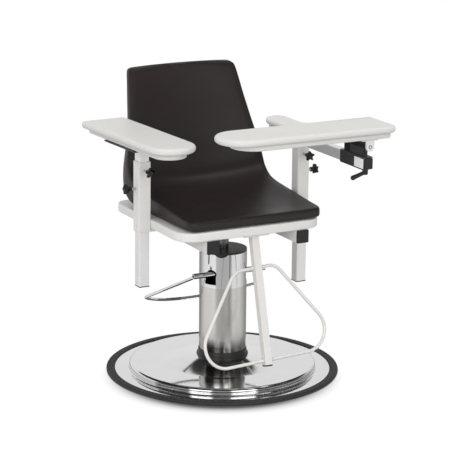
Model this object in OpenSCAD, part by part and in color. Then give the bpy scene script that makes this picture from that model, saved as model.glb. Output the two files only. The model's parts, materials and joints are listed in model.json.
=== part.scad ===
// Phlebotomy chair on a hydraulic pump base: a moulded seat with an arm board
// on the left and a flip-up crossing board on the right.
// Millimetres. The origin is on the floor under the pump column, +Z is up, the
// sitter faces -Y, and left means -X, the left-hand side seen from the front.

/* [Base] */
// Diameter over the rubber ring
base_d = 686; // [600:1:760]
// Width of the rubber ring
ring_w = 26; // [18:0.5:34]
// Height of the rubber ring
ring_h = 12; // [9:0.5:16]
// Height of the chrome flange inside the ring
flange_z = 9; // [7:0.5:11]
// Radius of the raised disc
disc_r = 275; // [240:1:290]
// Height of the raised disc
disc_z = 29; // [26:0.5:36]
// Thickness of the chrome cover
cover_t = 2.5; // [1.5:0.1:3.5]
// Radius where the cover starts to flare up to the column
flare_r = 148; // [120:1:160]
// Height of the top of the flare
flare_z = 47; // [42:1:70]
// Radius of the cast ballast plate
casting_r = 200; // [160:1:230]
// Thickness of the cast ballast plate
casting_t = 15; // [10:0.5:18]

/* [Pump column] */
// Outer diameter of the chrome sleeve
column_d = 139.7; // [120:0.1:150]
// Wall of the column tube
column_wall = 3; // [2:0.1:4]
// Height where the chrome sleeve starts
sleeve_z = 266; // [250:1:280]
// Height of the top of the black cap
cap_z = 373; // [355:1:400]
// Thickness of the black cap
cap_t = 6; // [4:0.5:10]
// Diameter of the ram that carries the seat
ram_d = 32; // [28:0.5:42]
// Lift of the ram
lift_h = 150; // [100:1:160]
// Height of the dark collar ring at the foot of the column
collar_h = 29; // [24:1:44]
// Width of the pedal window in the sleeve
window_w = 33; // [24:1:38]

/* [Pump pedal] */
// Diameter of the cross shaft
shaft_d = 16.5; // [14:0.1:16.5]
// Length of the cross shaft
shaft_l = 234; // [210:1:250]
// Distance of the shaft in front of the column axis
shaft_off = 38; // [37.8:0.1:42]
// Height of the shaft
shaft_z = 308; // [300:1:314]
// Diameter of the bent rod of the pedal
pedal_rod_d = 9.5; // [8:0.1:12]
// Downward slope of the pedal loop
pedal_slope = 30.2; // [20:0.1:34]
// Reach of the pedal from the shaft to its corners
pedal_reach = 192; // [170:1:194]
// Half width of the pedal at its corners
pedal_half_w = 194; // [170:1:196]
// Bow of the pedal's foot bar past its corners
pedal_bow = 86; // [40:1:90]
// Bend radius at the pedal's corners
pedal_bend_r = 26; // [20:1:40]

/* [Seat frame] */
// Height of the underside of the seat tray
tray_z = 459.3; // [450:0.1:480]
// Distance between the two arm sleeves
frame_w = 480.2; // [470:0.1:520]
// Gap between the tray and the right sleeve
tray_gap = 22.2; // [10:0.1:30]
// Front edge of the tray from the column axis
tray_front = 212; // [205:1:225]
// Back edge of the tray from the column axis
tray_back = 241; // [225:1:250]
// Thickness of the tray
tray_t = 25.4; // [20:0.1:30]
// Corner radius at the front of the tray
tray_front_r = 60; // [30:1:80]
// Corner radius at the back of the tray
tray_back_r = 40; // [20:1:60]
// Size of the square rails under the tray
rail_size = 38.1; // [30:0.1:40]
// Distance from each sleeve to the middle of its rail
rail_in = 96.4; // [85:0.1:110]
// Thickness of the black mount plate
mount_t = 9.5; // [6:0.1:12]

/* [Seat shell] */
// Space between the shell and each sleeve
shell_side = 23.1; // [20:0.1:40]
// Depth of the shell from its front lip to the back of its top
shell_d = 507; // [460:1:520]
// Height of the shell above the tray
shell_h = 397; // [360:1:420]

/* [Posts and sleeves] */
// Outside of the square sleeves
sleeve_size = 38.1; // [36:0.1:44]
// Outside of the square posts
post_size = 31.75; // [28:0.05:31.75]
// Wall of the posts
post_wall = 2; // [1.5:0.1:3]
// Length of the sleeves
sleeve_l = 205.6; // [180:1:220]
// Distance of the posts behind the column axis
post_y = 7.5; // [0:0.5:20]
// Length of the left post
left_post_l = 407; // [380:1:420]
// Length of the right post
right_post_l = 417.2; // [400:0.1:430]

/* [Star knobs] */
// Diameter over the lobes
knob_d = 29; // [24:0.5:34]
// Number of lobes
knob_lobes = 5; // [4:1:6]
// Depth of the lobed head
knob_t = 14; // [10:0.5:16]
// Height of the front knobs above the foot of the sleeve
front_knob_h = 181; // [165:1:188]
// Height of the outer knobs above the foot of the sleeve
outer_knob_h = 127; // [110:1:140]
// Distance of the head's middle from the sleeve
knob_reach = 31; // [28:0.5:38]

/* [Left arm board] */
// Width of the board
left_w = 145; // [130:1:150]
// Length of the board
left_l = 474; // [440:1:500]
// Length of the board in front of its post
left_front = 236; // [200:1:250]
// Turn of the board towards the sitter
left_yaw = 3.2; // [0:0.1:4]
// Thickness of the top slab of both boards
slab_t = 20; // [16:0.5:24]
// Thickness of the stepped lower pan of both boards
pan_t = 15; // [12:0.5:20]
// Step in from the slab's side to the pan's
pan_inset = 12; // [8:0.5:18]
// The same step on the side towards the sitter
pan_inner_inset = 27; // [12:0.5:30]

/* [Right arm and flip board] */
// Width of the arm bar, which is as high as the posts are wide
bar_w = 25.4; // [22:0.1:31.7]
// Length of the arm bar in front of its post
bar_front = 380.5; // [370:0.5:400]
// Length of the black slide sleeve
slide_l = 127.5; // [110:0.5:140]
// Wall of the slide sleeve
slide_wall = 3; // [2.5:0.1:4]
// Height of the hinge axis above the slide sleeve
hinge_h = 29.3; // [27:0.1:34]
// Height of the pan's underside above the hinge axis
hinge_drop = 21.6; // [19:0.1:24]
// Width of the crossing board
cross_w = 154; // [140:1:160]
// Reach of the crossing board from the hinge to its nose
cross_in = 451; // [420:1:455]
// Reach of the crossing board past the hinge
cross_out = 82; // [60:1:90]
// Width of the rear tongue
tongue_w = 65; // [55:1:80]
// Length of the rear tongue behind the crossing board
tongue_l = 135; // [110:1:150]
// Distance of the tongue's middle from the hinge
tongue_x = 166; // [140:1:190]

/* [Footrest] */
// Outside of the square footrest post
foot_post = 22.2; // [19:0.1:25.4]
// Forward lean of the footrest
foot_lean = 14.6; // [8:0.1:16]
// Length of the footrest post along its lean
foot_l = 372; // [362:1:385]
// Top of the footrest post in front of the column axis
foot_off = 184; // [178:1:188]
// Diameter of the rod of the loop
foot_rod_d = 9.5; // [8:0.1:12]
// Distance down the post to the loop's top bar
loop_top = 94; // [80:1:110]
// Distance of the loop's bottom bar above the foot of the post
loop_rise = 13; // [12:1:32]
// Half width of the loop at its top bar, at the corner of the bends
loop_top_w = 65.5; // [50:0.5:80]
// Half width of the loop at its bottom bar, at the corner of the bends
loop_bottom_w = 254; // [220:1:256]
// Bend radius at the top of the loop
loop_top_r = 45; // [30:1:60]
// Bend radius at the bottom of the loop
loop_bottom_r = 64; // [50:1:70]
// Skew of the loop on its post
loop_skew = 2.9; // [0:0.1:3.5]

/* [Hidden] */

$fn = 96;
// Overrun of every cut past the face it opens
cut = 5;
// Gap between faces that rest on each other
seat_gap = 0.3;
// Radial clearance of every running fit
fit = 0.08;
// Clearance of each side of a sliding square tube
slide_fit = 0.08;

// Base
base_r = base_d / 2;
ring_round = 5;
rim_r = base_r - ring_w / 2;
step_fillet = 4;
shoulder_r = 9;
flare_in_r = column_d / 2 + 10;
flare_bend = 14;
flare_lip_h = 4;
flare_lip_w = 1.2;
cover_inner_r = flare_in_r - cover_t;
hub_r = 140;
hub_z = disc_z - cover_t;
foot_flange_r = 96;
foot_flange_t = 6;
bolt_circle_r = 84;
bolt_r = 5;
bolt_head_r = 8.5;
bolt_head_t = 6.5;

// Column
column_r = column_d / 2;
tube_step = 0.45;
tube_r = column_r - tube_step;
column_in_r = tube_r - column_wall;
collar_r = cover_inner_r - seat_gap;
collar_lap = 6;
collar_z = flare_z - collar_lap;
window_z = sleeve_z + 10;
window_arch_r = 13;
window_shift = 4.7;
slit_shift = 2.3;
slit_l = 6;
seam_shift = 6.3;
seam_w = 2;
seam_l = 24;
notch_r = 26;
notch_drop = 8;
notch_angle = -122;
ram_r = ram_d / 2;
cyl_in_r = ram_r + 1.9;
cyl_out_r = shaft_off - shaft_d / 2 - 1;
cyl_z = hub_z + foot_flange_t;
head_t = 26;
gland_t = 11;
head_z = cap_z - cap_t - gland_t - head_t;
gland_w = 8;
lug_t = 8;
lug_x = 30;
lug_r = 13;
cylinder_cap_t = 8;
piston_t = 26;
piston_gap = 6;
ram_bottom_z = head_z - lift_h - piston_gap - piston_t;
plunger_x = 46;
plunger_y = -9;
plunger_r = 7;
plunger_head_r = 9;
plunger_head_t = 4;
block_wall = 5;
block_z = 226;
block_h = 44;
plunger_foot_z = block_z + 12;
cam_t = 10;
cam_w = 10;
cam_roller_r = 5;
spring_turns = 5;
spring_wire_r = 0.8;
spring_r = plunger_r + 1.1;
spring_sides = 6;
spring_steps = 10;

// Pedal
pedal_rod_r = pedal_rod_d / 2;
pedal_foot_x = shaft_l / 2 - pedal_rod_d;
pedal_splay = atan2(pedal_half_w - pedal_foot_x, pedal_reach - shaft_d / 2 - pedal_rod_d);
shaft_y = -shaft_off;
shaft_bore_r = 4;
rod_sides = 14;
bend_steps = 10;
bar_steps = 20;
pedal_bar_r = (pedal_half_w * pedal_half_w + pedal_bow * pedal_bow) / (2 * pedal_bow);
pedal_bar_c = pedal_reach + pedal_bow - pedal_bar_r;

// Seat frame
tray_top = tray_z + tray_t;
// The tray's left side lies against the left sleeve
tray_x0 = -frame_w / 2;
tray_w = frame_w - tray_gap;
rail_wall = 2;
rail_round = 3;
rail_z = tray_z - rail_size / 2;
rail_x = frame_w / 2 - rail_in;
rail_inner_x = rail_x - rail_size / 2;
rail_back = tray_front;
rail_cap_t = 4;
rail_plug_l = 16;
mount_l = 150;
mount_z = tray_z - mount_t;
hub_socket_r = ram_r + 11;
bush_t = 3;
socket_h = 24;
socket_z = mount_z - socket_h;
bracket_t = 9.5;
screw_r = 3;
screw_head_r = 6;
screw_head_t = 4;
screw_bite = 10;
shell_screw_in = 24.65;
shell_screw_x = rail_inner_x - shell_screw_in;
shell_screw_front = -120;
shell_screw_back = 95;
mount_bolt_in = 34.65;
mount_bolt_x = rail_inner_x - mount_bolt_in;
mount_bolt_y = 52;
mount_bolt_r = 4.5;
mount_bolt_head_r = 8;
mount_bolt_head_t = 5.5;

// Shell
shell_w = frame_w - 2 * shell_side;
shell_z = tray_top + seat_gap;
shell_y0 = -207;
dish_seat = 16;
dish_back = 20;
shell_arch = 6;
// Stations along the shell, from the front lip to the top of the back:
// the underside's y and z, the sitter's side's y and z, the half width, the
// dish of the middle, and the rise of the arched top. The y are shares of
// shell_d from the lip, the z of shell_h, the widths of half of shell_w.
shell_shares = [
  [0.000, 0.032, 0.000, 0.056, 0.885, 0.00, 0.0],
  [0.006, 0.022, 0.008, 0.069, 0.930, 0.00, 0.0],
  [0.022, 0.015, 0.026, 0.075, 0.960, 0.10, 0.0],
  [0.063, 0.010, 0.069, 0.079, 0.985, 0.30, 0.0],
  [0.187, 0.003, 0.187, 0.091, 0.995, 0.70, 0.0],
  [0.357, 0.000, 0.357, 0.110, 1.000, 1.00, 0.0],
  [0.515, 0.000, 0.497, 0.126, 1.000, 1.15, 0.0],
  [0.640, 0.001, 0.582, 0.142, 1.000, 1.30, 0.0],
  [0.716, 0.004, 0.641, 0.160, 1.000, 1.45, 0.0],
  [0.769, 0.021, 0.684, 0.185, 1.006, 1.55, 0.0],
  [0.812, 0.058, 0.718, 0.217, 1.012, 1.55, 0.0],
  [0.838, 0.108, 0.740, 0.260, 1.014, 1.50, 0.0],
  [0.850, 0.169, 0.757, 0.308, 1.012, 1.40, 0.0],
  [0.854, 0.260, 0.770, 0.375, 1.000, 1.30, 0.0],
  [0.858, 0.390, 0.781, 0.432, 0.975, 1.15, 0.0],
  [0.870, 0.496, 0.798, 0.498, 0.947, 1.05, 0.0],
  [0.896, 0.612, 0.826, 0.598, 0.912, 1.00, 0.0],
  [0.934, 0.745, 0.868, 0.726, 0.872, 0.90, 0.1],
  [0.968, 0.874, 0.909, 0.858, 0.830, 0.70, 0.5],
  [0.990, 0.936, 0.930, 0.925, 0.802, 0.50, 0.9],
  [1.000, 0.957, 0.944, 0.954, 0.770, 0.30, 1.0],
  [0.994, 0.969, 0.960, 0.967, 0.720, 0.00, 0.7]];
// The rounded side edge of a station: share of the half width, and place
// between the underside at -1 and the sitter's side at 1
edge_shares = [[0.92, -1], [0.975, -0.88], [0.997, -0.5], [1, 0.1], [0.992, 0.55],
  [0.965, 0.88], [0.92, 1]];
// Places across the sitter's side and across the underside
top_shares = [0.74, 0.5, 0.25, 0, -0.25, -0.5, -0.74];
bottom_shares = [-0.5, 0, 0.5];

// Posts
sleeve_z0 = tray_z - bracket_t;
sleeve_top = sleeve_z0 + sleeve_l;
sleeve_x = frame_w / 2 + sleeve_size / 2;
sleeve_bore = post_size + 2 * slide_fit;
post_round = 3;
left_post_z = 289;
right_post_z = 242;
left_plate_z = left_post_z + left_post_l;
bar_z = right_post_z + right_post_l;
boss_r = 14;
boss_t = 1.2;

// Knobs
stud_r = 4;
knob_core_r = knob_d * 0.31;
lobe_r = knob_d * 0.17;
neck_r = 7;
neck_l = 9;
dimple_r = 6;
dimple_depth = 1.5;
front_knob_extra = 4;

// Left board
arm_plate_t = 4;
arm_plate_w = 95;
arm_plate_shift = -8;
left_pan_side = 20;
arm_plate_front = 60;
arm_plate_back = 120;
pan_nose_inset = 20;
pan_back_inset = 12;
pan_round = 14;
board_shift = -2;
arm_screw_x = 30;
arm_screw_front = -42;
arm_screw_back = 100;
arm_screw_r = 2.5;
arm_screw_head_r = 5;
arm_screw_head_t = 3;
arm_screw_bite = 10;

// Right arm
bar_size = post_size;
bar_mid_z = bar_z + bar_size / 2;
bar_y0 = post_y - bar_front;
bar_back = post_y + post_size / 2;
bar_cap_t = 4;
slide_size = bar_size + 2 * slide_fit + 2 * slide_wall;
slide_w = bar_w + 2 * slide_fit + 2 * slide_wall;
slide_relief = 10;
slide_y0 = bar_y0;
slide_y1 = slide_y0 + slide_l;
slide_top = bar_mid_z + slide_size / 2;
slide_bottom = bar_mid_z - slide_size / 2;
plate_w = 48;
plate_h = 28;
plate_t = 0.8;
hinge_shift = 1.85;
hinge_x = sleeve_x + hinge_shift;
hinge_z = slide_top + hinge_h;
hinge_r = 13;
barrel_r = 10;
hinge_pin_r = 5;
block_over = 1;
block_under = 22;
block_rear_l = 24.6;
block_rear_w = 15.6;
block_y0 = slide_y0 - block_over;
block_y1 = slide_y1 - block_under;
block_x0 = sleeve_x - slide_w / 2;
hinge_wall_in = 2.7;
hinge_wall_t = 9.5;
ear_skin = 1.6;
ear_t = 5;
pin_head_t = 3;
pin_head_r = 8;
flip_plate_t = 4;
flip_plate_half = 26;
flip_pan_z = hinge_z + hinge_drop;
flip_plate_z = flip_pan_z - flip_plate_t;
flip_slab_z = flip_pan_z + pan_t;
cross_shift = -1.7;
cross_nose_inset = 43;
cross_mid_y = (block_y0 + block_y1) / 2 + cross_shift;
cross_end_r = 18;
flip_screw_x = 21;
flip_screw_y = 45;
clamp_in = 20;
clamp_side = 3;
clamp_x = sleeve_x + clamp_side;
clamp_y = slide_y0 + clamp_in;
clamp_boss_r = 9.5;
clamp_boss_t = 3;
lever_hub_r = 8.5;
lever_hub_h = 13.5;
lever_l = 34;
lever_drop = 15;
lever_turn = 162;
lever_r = 4.2;
lever_end_r = 5.8;

// Footrest
foot_wall = 2;
foot_plate_t = 5;
foot_plate_w = 80;
foot_plate_l = 52;
foot_top_z = tray_z - foot_plate_t;
foot_rod_r = foot_rod_d / 2;
foot_plug_t = 4;
loop_bottom = foot_l - loop_rise;
loop_mid = (loop_top + loop_bottom) / 2;

black_soft = [0.16, 0.15, 0.15];
white_paint = [0.86, 0.85, 0.83];

// Helpers

function unit(v) = v / norm(v);
function arc_points(c, rx, ry, a0, a1, n) =
  [for (i = [0:n]) let (a = a0 + (a1 - a0) * i / n) [c[0] + rx * cos(a), c[1] + ry * sin(a)]];
// Points of a path moved sideways by t
function beside(p, t) = [for (i = [0:len(p) - 1])
  let (d = unit(p[min(i + 1, len(p) - 1)] - p[max(i - 1, 0)])) p[i] + t * [-d[1], d[0]]];
function backwards(p) = [for (i = [len(p) - 1:-1:0]) p[i]];
function turn_of(a, b, c) = acos(unit(b - a) * unit(c - b));
function turn_len(a, b, c, r) = r * tan(turn_of(a, b, c) / 2);
function angle_of(v) = atan2(v[1], v[0]);

// A square with round corners, centred
module soft_square(s, r) {
  square([s, s - 2 * r], center = true);
  square([s - 2 * r, s], center = true);
  for (x = [-1, 1], y = [-1, 1]) translate([x, y] * (s / 2 - r)) circle(r);
}

// An upright rectangle with round corners, centred
module soft_bar(w, h, r) {
  square([w, h - 2 * r], center = true);
  square([w - 2 * r, h], center = true);
  for (x = [-1, 1], y = [-1, 1]) translate([x * (w / 2 - r), y * (h / 2 - r)]) circle(r);
}

module square_tube(s, wall, r, h) {
  linear_extrude(h) difference() {
    soft_square(s, r);
    soft_square(s - 2 * wall, max(r - wall, wall / 4));
  }
}

// A rectangle from x0 to x1 and y0 to y1 with one radius at low y and one at high y
module soft_rect(x0, x1, y0, y1, r0, r1) {
  translate([x0, y0 + r0]) square([x1 - x0, y1 - y0 - r0 - r1]);
  translate([x0 + r0, y0]) square([x1 - x0 - 2 * r0, r0 * 2]);
  translate([x0 + r1, y1 - r1 * 2]) square([x1 - x0 - 2 * r1, r1 * 2]);
  for (x = [x0 + r0, x1 - r0]) translate([x, y0 + r0]) circle(r0);
  for (x = [x0 + r1, x1 - r1]) translate([x, y1 - r1]) circle(r1);
}

// The points of a bend of radius r at b, between the straights a-b and b-c
function bend_points(a, b, c, r, n) = let (
  into = b - unit(b - a) * turn_len(a, b, c, r),
  mid = b + unit(unit(a - b) + unit(c - b)) * r / cos(turn_of(a, b, c) / 2),
  start = angle_of(into - mid),
  turn = turn_of(a, b, c) * (cross(b - a, c - b) > 0 ? 1 : -1))
  arc_points(mid, r, r, start, start + turn, n);

// The points of a closed loop with corners p and bend radii
function loop_points(p, bends, n) = [for (i = [0:len(p) - 1])
  let (m = len(p)) each bend_points(p[(i + m - 1) % m], p[i], p[(i + 1) % m], bends[i], n)];

// A round rod swept along a path in the XY plane, with mitred rings
module swept_rod(path, r, closed) {
  n = len(path);
  m = rod_sides;
  rings = [for (i = [0:n - 1]) let (
    a = closed || i > 0 ? unit(path[i] - path[(i + n - 1) % n]) : unit(path[1] - path[0]),
    b = closed || i < n - 1 ? unit(path[(i + 1) % n] - path[i]) : a,
    t = unit(a + b),
    side = [-t[1], t[0]] / (t * a))
    each [for (k = [0:m - 1]) let (q = path[i] + r * cos(360 * k / m) * side)
      [q[0], q[1], r * sin(360 * k / m)]]];
  walls = [for (i = [0:closed ? n - 1 : n - 2], k = [0:m - 1])
    let (a = i * m + k, b = i * m + (k + 1) % m, c = (i + 1) % n * m + k, d = (i + 1) % n * m + (k + 1) % m)
    each [[a, c, b], [b, c, d]]];
  first = [for (k = [1:m - 2]) [0, k, k + 1]];
  last = [for (k = [1:m - 2]) (n - 1) * m * [1, 1, 1] + [0, k + 1, k]];
  polyhedron(points = rings, faces = closed ? walls : concat(walls, first, last), convexity = 8);
}

// A slab with a round nose at -y and a half-round edge all the way round.
// Its width is w, its nose is at y0 and its square end at y1.
module bull_slab(w, y0, y1, t) {
  r = t / 2;
  nose_y = y0 + w / 2;
  translate([0, nose_y, r]) rotate_extrude() union() {
    translate([0, -r]) square([w / 2 - r, t]);
    translate([w / 2 - r, 0]) intersection() {
      circle(r);
      translate([0, -r]) square([r, t]);
    }
  }
  translate([-w / 2 + r, nose_y, 0]) cube([w - t, y1 - r - nose_y, t]);
  for (x = [-1, 1]) translate([x * (w / 2 - r), nose_y, r]) rotate([-90, 0, 0])
    cylinder(r = r, h = y1 - r - nose_y);
  translate([-w / 2 + r, y1 - r, r]) rotate([0, 90, 0]) cylinder(r = r, h = w - t);
  for (x = [-1, 1]) translate([x * (w / 2 - r), y1 - r, r]) sphere(r);
}

// The same slab with plain edges and round corners, for the pans
module nose_plate(w, y0, y1, t, r) {
  nose_y = y0 + w / 2;
  linear_extrude(t) {
    translate([0, nose_y]) circle(w / 2);
    translate([-w / 2, nose_y]) square([w, y1 - r - nose_y]);
    translate([-w / 2 + r, y1 - 2 * r]) square([w - 2 * r, 2 * r]);
    for (x = [-1, 1]) translate([x * (w / 2 - r), y1 - r]) circle(r);
  }
}

module ring_at(r_out, r_in, h, z) {
  translate([0, 0, z]) difference() {
    cylinder(r = r_out, h = h);
    translate([0, 0, -cut]) cylinder(r = r_in, h = h + 2 * cut);
  }
}

// Base

// The cover rises to the column as a cone, with a bend at its foot and a lip
flare_foot = [flare_r - flare_bend, disc_z];
flare_end = [flare_in_r + flare_lip_w, flare_z - flare_lip_h];
flare_start = flare_foot + (flare_end - flare_foot) * flare_bend / norm(flare_end - flare_foot);

function flare_point(t) = (1 - t) * (1 - t) * [flare_r, disc_z] + 2 * t * (1 - t) * flare_foot + t * t * flare_start;

cover_top = concat(
  [[rim_r, flange_z]],
  arc_points([disc_r + step_fillet, flange_z + step_fillet], step_fillet, step_fillet, 270, 180, 4),
  arc_points([disc_r - shoulder_r, disc_z - shoulder_r], shoulder_r, shoulder_r, 0, 90, 6),
  [for (t = [0:0.2:1]) flare_point(t)],
  [flare_end, [flare_in_r, flare_z]]);

module base_ring() color("dimgray") rotate_extrude() difference() {
  translate([base_r - ring_w, 0]) {
    translate([ring_round, 0]) square([ring_w - 2 * ring_round, ring_h]);
    translate([0, ring_round]) square([ring_w, ring_h - 2 * ring_round]);
    for (x = [ring_round, ring_w - ring_round], y = [ring_round, ring_h - ring_round])
      translate([x, y]) circle(ring_round);
  }
  translate([base_r - ring_w - cut, flange_z - cover_t])
    square([rim_r - base_r + ring_w + cut + seat_gap, cover_t]);
}

module base_cover() color("silver")
  rotate_extrude() polygon(concat(cover_top, backwards(beside(cover_top, cover_t))));

module bolt_places() {
  for (a = [45:90:315]) rotate([0, 0, a]) translate([bolt_circle_r, 0, 0]) children();
}

module base_casting() color("darkslategray") difference() {
  union() {
    cylinder(r = casting_r, h = casting_t);
    cylinder(r = hub_r, h = hub_z);
  }
  bolt_places() {
    translate([0, 0, -cut]) cylinder(r = bolt_r + fit, h = hub_z + 2 * cut);
    translate([0, 0, -cut]) cylinder(r = bolt_head_r + fit, h = bolt_head_t + seat_gap + cut);
  }
}

module base_bolts() color("gray") bolt_places() {
  translate([0, 0, seat_gap]) cylinder(r = bolt_head_r, h = bolt_head_t, $fn = 6);
  translate([0, 0, seat_gap]) cylinder(r = bolt_r, h = hub_z + foot_flange_t - seat_gap);
}

module column_collar() color("darkgray")
  ring_at(collar_r, tube_r + fit, collar_h, collar_z);

module column_tube() color("lightgray") difference() {
  union() {
    translate([0, 0, hub_z]) cylinder(r = tube_r, h = sleeve_z - hub_z);
    translate([0, 0, hub_z]) cylinder(r = foot_flange_r, h = foot_flange_t);
  }
  translate([0, 0, hub_z + foot_flange_t])
    cylinder(r = column_in_r, h = sleeve_z - hub_z + cut);
  bolt_places() translate([0, 0, hub_z - cut])
    cylinder(r = bolt_r + fit, h = foot_flange_t + 2 * cut);
}

// The outline of the pedal window, seen from the side: a slot below the shaft
// and an arch over it
module window_cut() {
  translate([shaft_y, shaft_z]) circle(window_arch_r);
  translate([shaft_y + window_shift - window_w / 2, window_z]) square([window_w, shaft_z - window_z]);
  translate([shaft_y + slit_shift - seam_w / 2, shaft_z]) square([seam_w, window_arch_r + slit_l]);
}

module column_sleeve() color("silver") difference() {
  translate([0, 0, sleeve_z]) cylinder(r = column_r, h = cap_z - cap_t - sleeve_z);
  translate([0, 0, sleeve_z - cut]) cylinder(r = column_in_r, h = cap_z - sleeve_z + cut);
  translate([-column_d / 2 - cut, 0, 0]) rotate([90, 0, 90])
    linear_extrude(column_d + 2 * cut) window_cut();
  for (s = [-1, 1]) translate([s * column_r / 2, shaft_y + seam_shift - seam_w / 2, cap_z - cap_t - seam_l])
    translate([s < 0 ? -column_r : 0, 0, 0]) cube([column_r, seam_w, seam_l + cut]);
  rotate([0, 0, notch_angle]) translate([0, 0, cap_z - cap_t + notch_r - notch_drop])
    rotate([0, 90, 0]) cylinder(r = notch_r, h = column_d);
}

module column_cap() color("black") difference() {
  union() {
    translate([0, 0, cap_z - cap_t]) cylinder(r = column_r - seat_gap, h = cap_t);
    translate([0, 0, cap_z - cap_t - gland_t])
      cylinder(r = column_in_r - seat_gap, h = gland_t + cap_t / 2);
  }
  translate([0, 0, cap_z - cap_t - gland_t - cut])
    cylinder(r = ram_r + fit, h = cap_t + gland_t + 2 * cut);
  translate([0, 0, cap_z - cap_t - gland_t - cut])
    cylinder(r = ram_r + gland_w + fit, h = gland_t + cut);
}

module ram_gland() color("dimgray")
  ring_at(ram_r + gland_w, ram_r + fit, gland_t - seat_gap, cap_z - cap_t - gland_t);

// The head that closes the pump and carries the pedal shaft on two lugs
module pump_head() color("slategray") difference() {
  union() {
    translate([0, 0, head_z]) cylinder(r = column_in_r - fit, h = head_t);
    for (s = [-1, 1]) translate([s * lug_x - lug_t / 2, shaft_y, shaft_z]) {
      rotate([0, 90, 0]) cylinder(r = lug_r, h = lug_t);
      translate([0, -lug_r, 0]) cube([lug_t, 2 * lug_r, head_z - shaft_z + cut]);
    }
  }
  translate([0, 0, head_z - cut]) cylinder(r = ram_r + fit, h = head_t + 2 * cut);
  translate([0, 0, head_z - 2 * cut]) cylinder(r = cyl_out_r + fit, h = cut * 3);
  translate([-lug_x - lug_t, shaft_y, shaft_z]) rotate([0, 90, 0])
    cylinder(r = shaft_d / 2 + fit, h = 2 * (lug_x + lug_t));
}

module pump_cylinder() color("lightsteelblue") difference() {
  translate([0, 0, cyl_z]) cylinder(r = cyl_out_r, h = head_z + cut - cyl_z);
  translate([0, 0, cyl_z + cylinder_cap_t])
    cylinder(r = cyl_in_r, h = head_z + 2 * cut - cyl_z);
}

module plunger_block() color("slategray") difference() {
  union() {
    translate([plunger_x, plunger_y, block_z]) cylinder(r = plunger_r + block_wall, h = block_h);
    translate([cyl_out_r - block_wall / 2, plunger_y - plunger_r, block_z])
      cube([plunger_x - cyl_out_r, 2 * plunger_r, block_h / 2]);
  }
  translate([plunger_x, plunger_y, plunger_foot_z - plunger_head_t - 2 * cut])
    cylinder(r = plunger_r + fit, h = block_h + 2 * cut);
  translate([0, 0, block_z - cut]) cylinder(r = cyl_out_r + fit, h = block_h + 2 * cut);
}

plunger_top = shaft_z - cam_roller_r - seat_gap;

module plunger() color("lightgray") {
  translate([plunger_x, plunger_y, plunger_foot_z])
    cylinder(r = plunger_r, h = plunger_top - plunger_foot_z);
  translate([plunger_x, plunger_y, plunger_top - plunger_head_t])
    cylinder(r = plunger_head_r + spring_wire_r, h = plunger_head_t);
}

// The return spring, one wire wound round the plunger
module plunger_spring() color("silver") {
  z0 = block_z + block_h + spring_wire_r + seat_gap;
  z1 = plunger_top - plunger_head_t - spring_wire_r - seat_gap;
  n = spring_turns * spring_steps;
  pts = [for (i = [0:n], k = [0:spring_sides - 1])
    let (a = 360 * i / spring_steps, b = 360 * k / spring_sides,
         rr = spring_r + spring_wire_r / 2 + spring_wire_r * cos(b))
    [plunger_x + rr * cos(a), plunger_y + rr * sin(a),
     z0 + (z1 - z0) * i / n + spring_wire_r * sin(b)]];
  walls = [for (i = [0:n - 1], k = [0:spring_sides - 1])
    let (a = i * spring_sides + k, b = i * spring_sides + (k + 1) % spring_sides)
    each [[a, a + spring_sides, b], [b, a + spring_sides, b + spring_sides]]];
  first = [for (k = [0:spring_sides - 1]) k];
  last = [for (k = [spring_sides - 1:-1:0]) n * spring_sides + k];
  polyhedron(points = pts, faces = concat(walls, [first, last]), convexity = 8);
}

// Pedal

module pedal_shaft() color("silver") translate([-shaft_l / 2, shaft_y, shaft_z])
  rotate([0, 90, 0]) difference() {
    cylinder(r = shaft_d / 2, h = shaft_l);
    translate([0, 0, -cut]) cylinder(r = shaft_bore_r, h = shaft_l / 8 + cut);
    translate([0, 0, shaft_l * 7 / 8]) cylinder(r = shaft_bore_r, h = shaft_l / 8 + cut);
  }

// The rod's end is drawn square, so its inner side only just meets the shaft
pedal_foot = [pedal_foot_x, shaft_d / 2 + pedal_rod_r * sin(pedal_splay)];
pedal_dir = unit([pedal_half_w, pedal_reach] - pedal_foot);
pedal_in = [-pedal_dir[1], pedal_dir[0]];
// Where a bend of pedal_bend_r touches both the side rod and the bowed bar
pedal_from = pedal_foot + pedal_in * pedal_bend_r - [0, pedal_bar_c];
pedal_half_b = pedal_from * pedal_dir;
pedal_room = pedal_from * pedal_from - pow(pedal_bar_r - pedal_bend_r, 2);
pedal_run = -pedal_half_b + sqrt(pedal_half_b * pedal_half_b - pedal_room);
pedal_bend_c = pedal_foot + pedal_in * pedal_bend_r + pedal_dir * pedal_run;
pedal_side_a = angle_of(-pedal_in);
pedal_bar_a = angle_of(pedal_bend_c - [0, pedal_bar_c]);
pedal_half = concat([pedal_foot],
  arc_points(pedal_bend_c, pedal_bend_r, pedal_bend_r, pedal_side_a, pedal_bar_a, bend_steps));
pedal_path = concat(pedal_half,
  [for (i = [1:bar_steps - 1]) let (a = pedal_bar_a + (180 - 2 * pedal_bar_a) * i / bar_steps)
    [pedal_bar_r * cos(a), pedal_bar_c + pedal_bar_r * sin(a)]],
  [for (q = backwards(pedal_half)) [-q[0], q[1]]]);

module pedal_loop() color("silver") translate([0, shaft_y, shaft_z])
  rotate([-pedal_slope, 0, 0]) swept_rod(pedal_path, pedal_rod_r, false);

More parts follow.
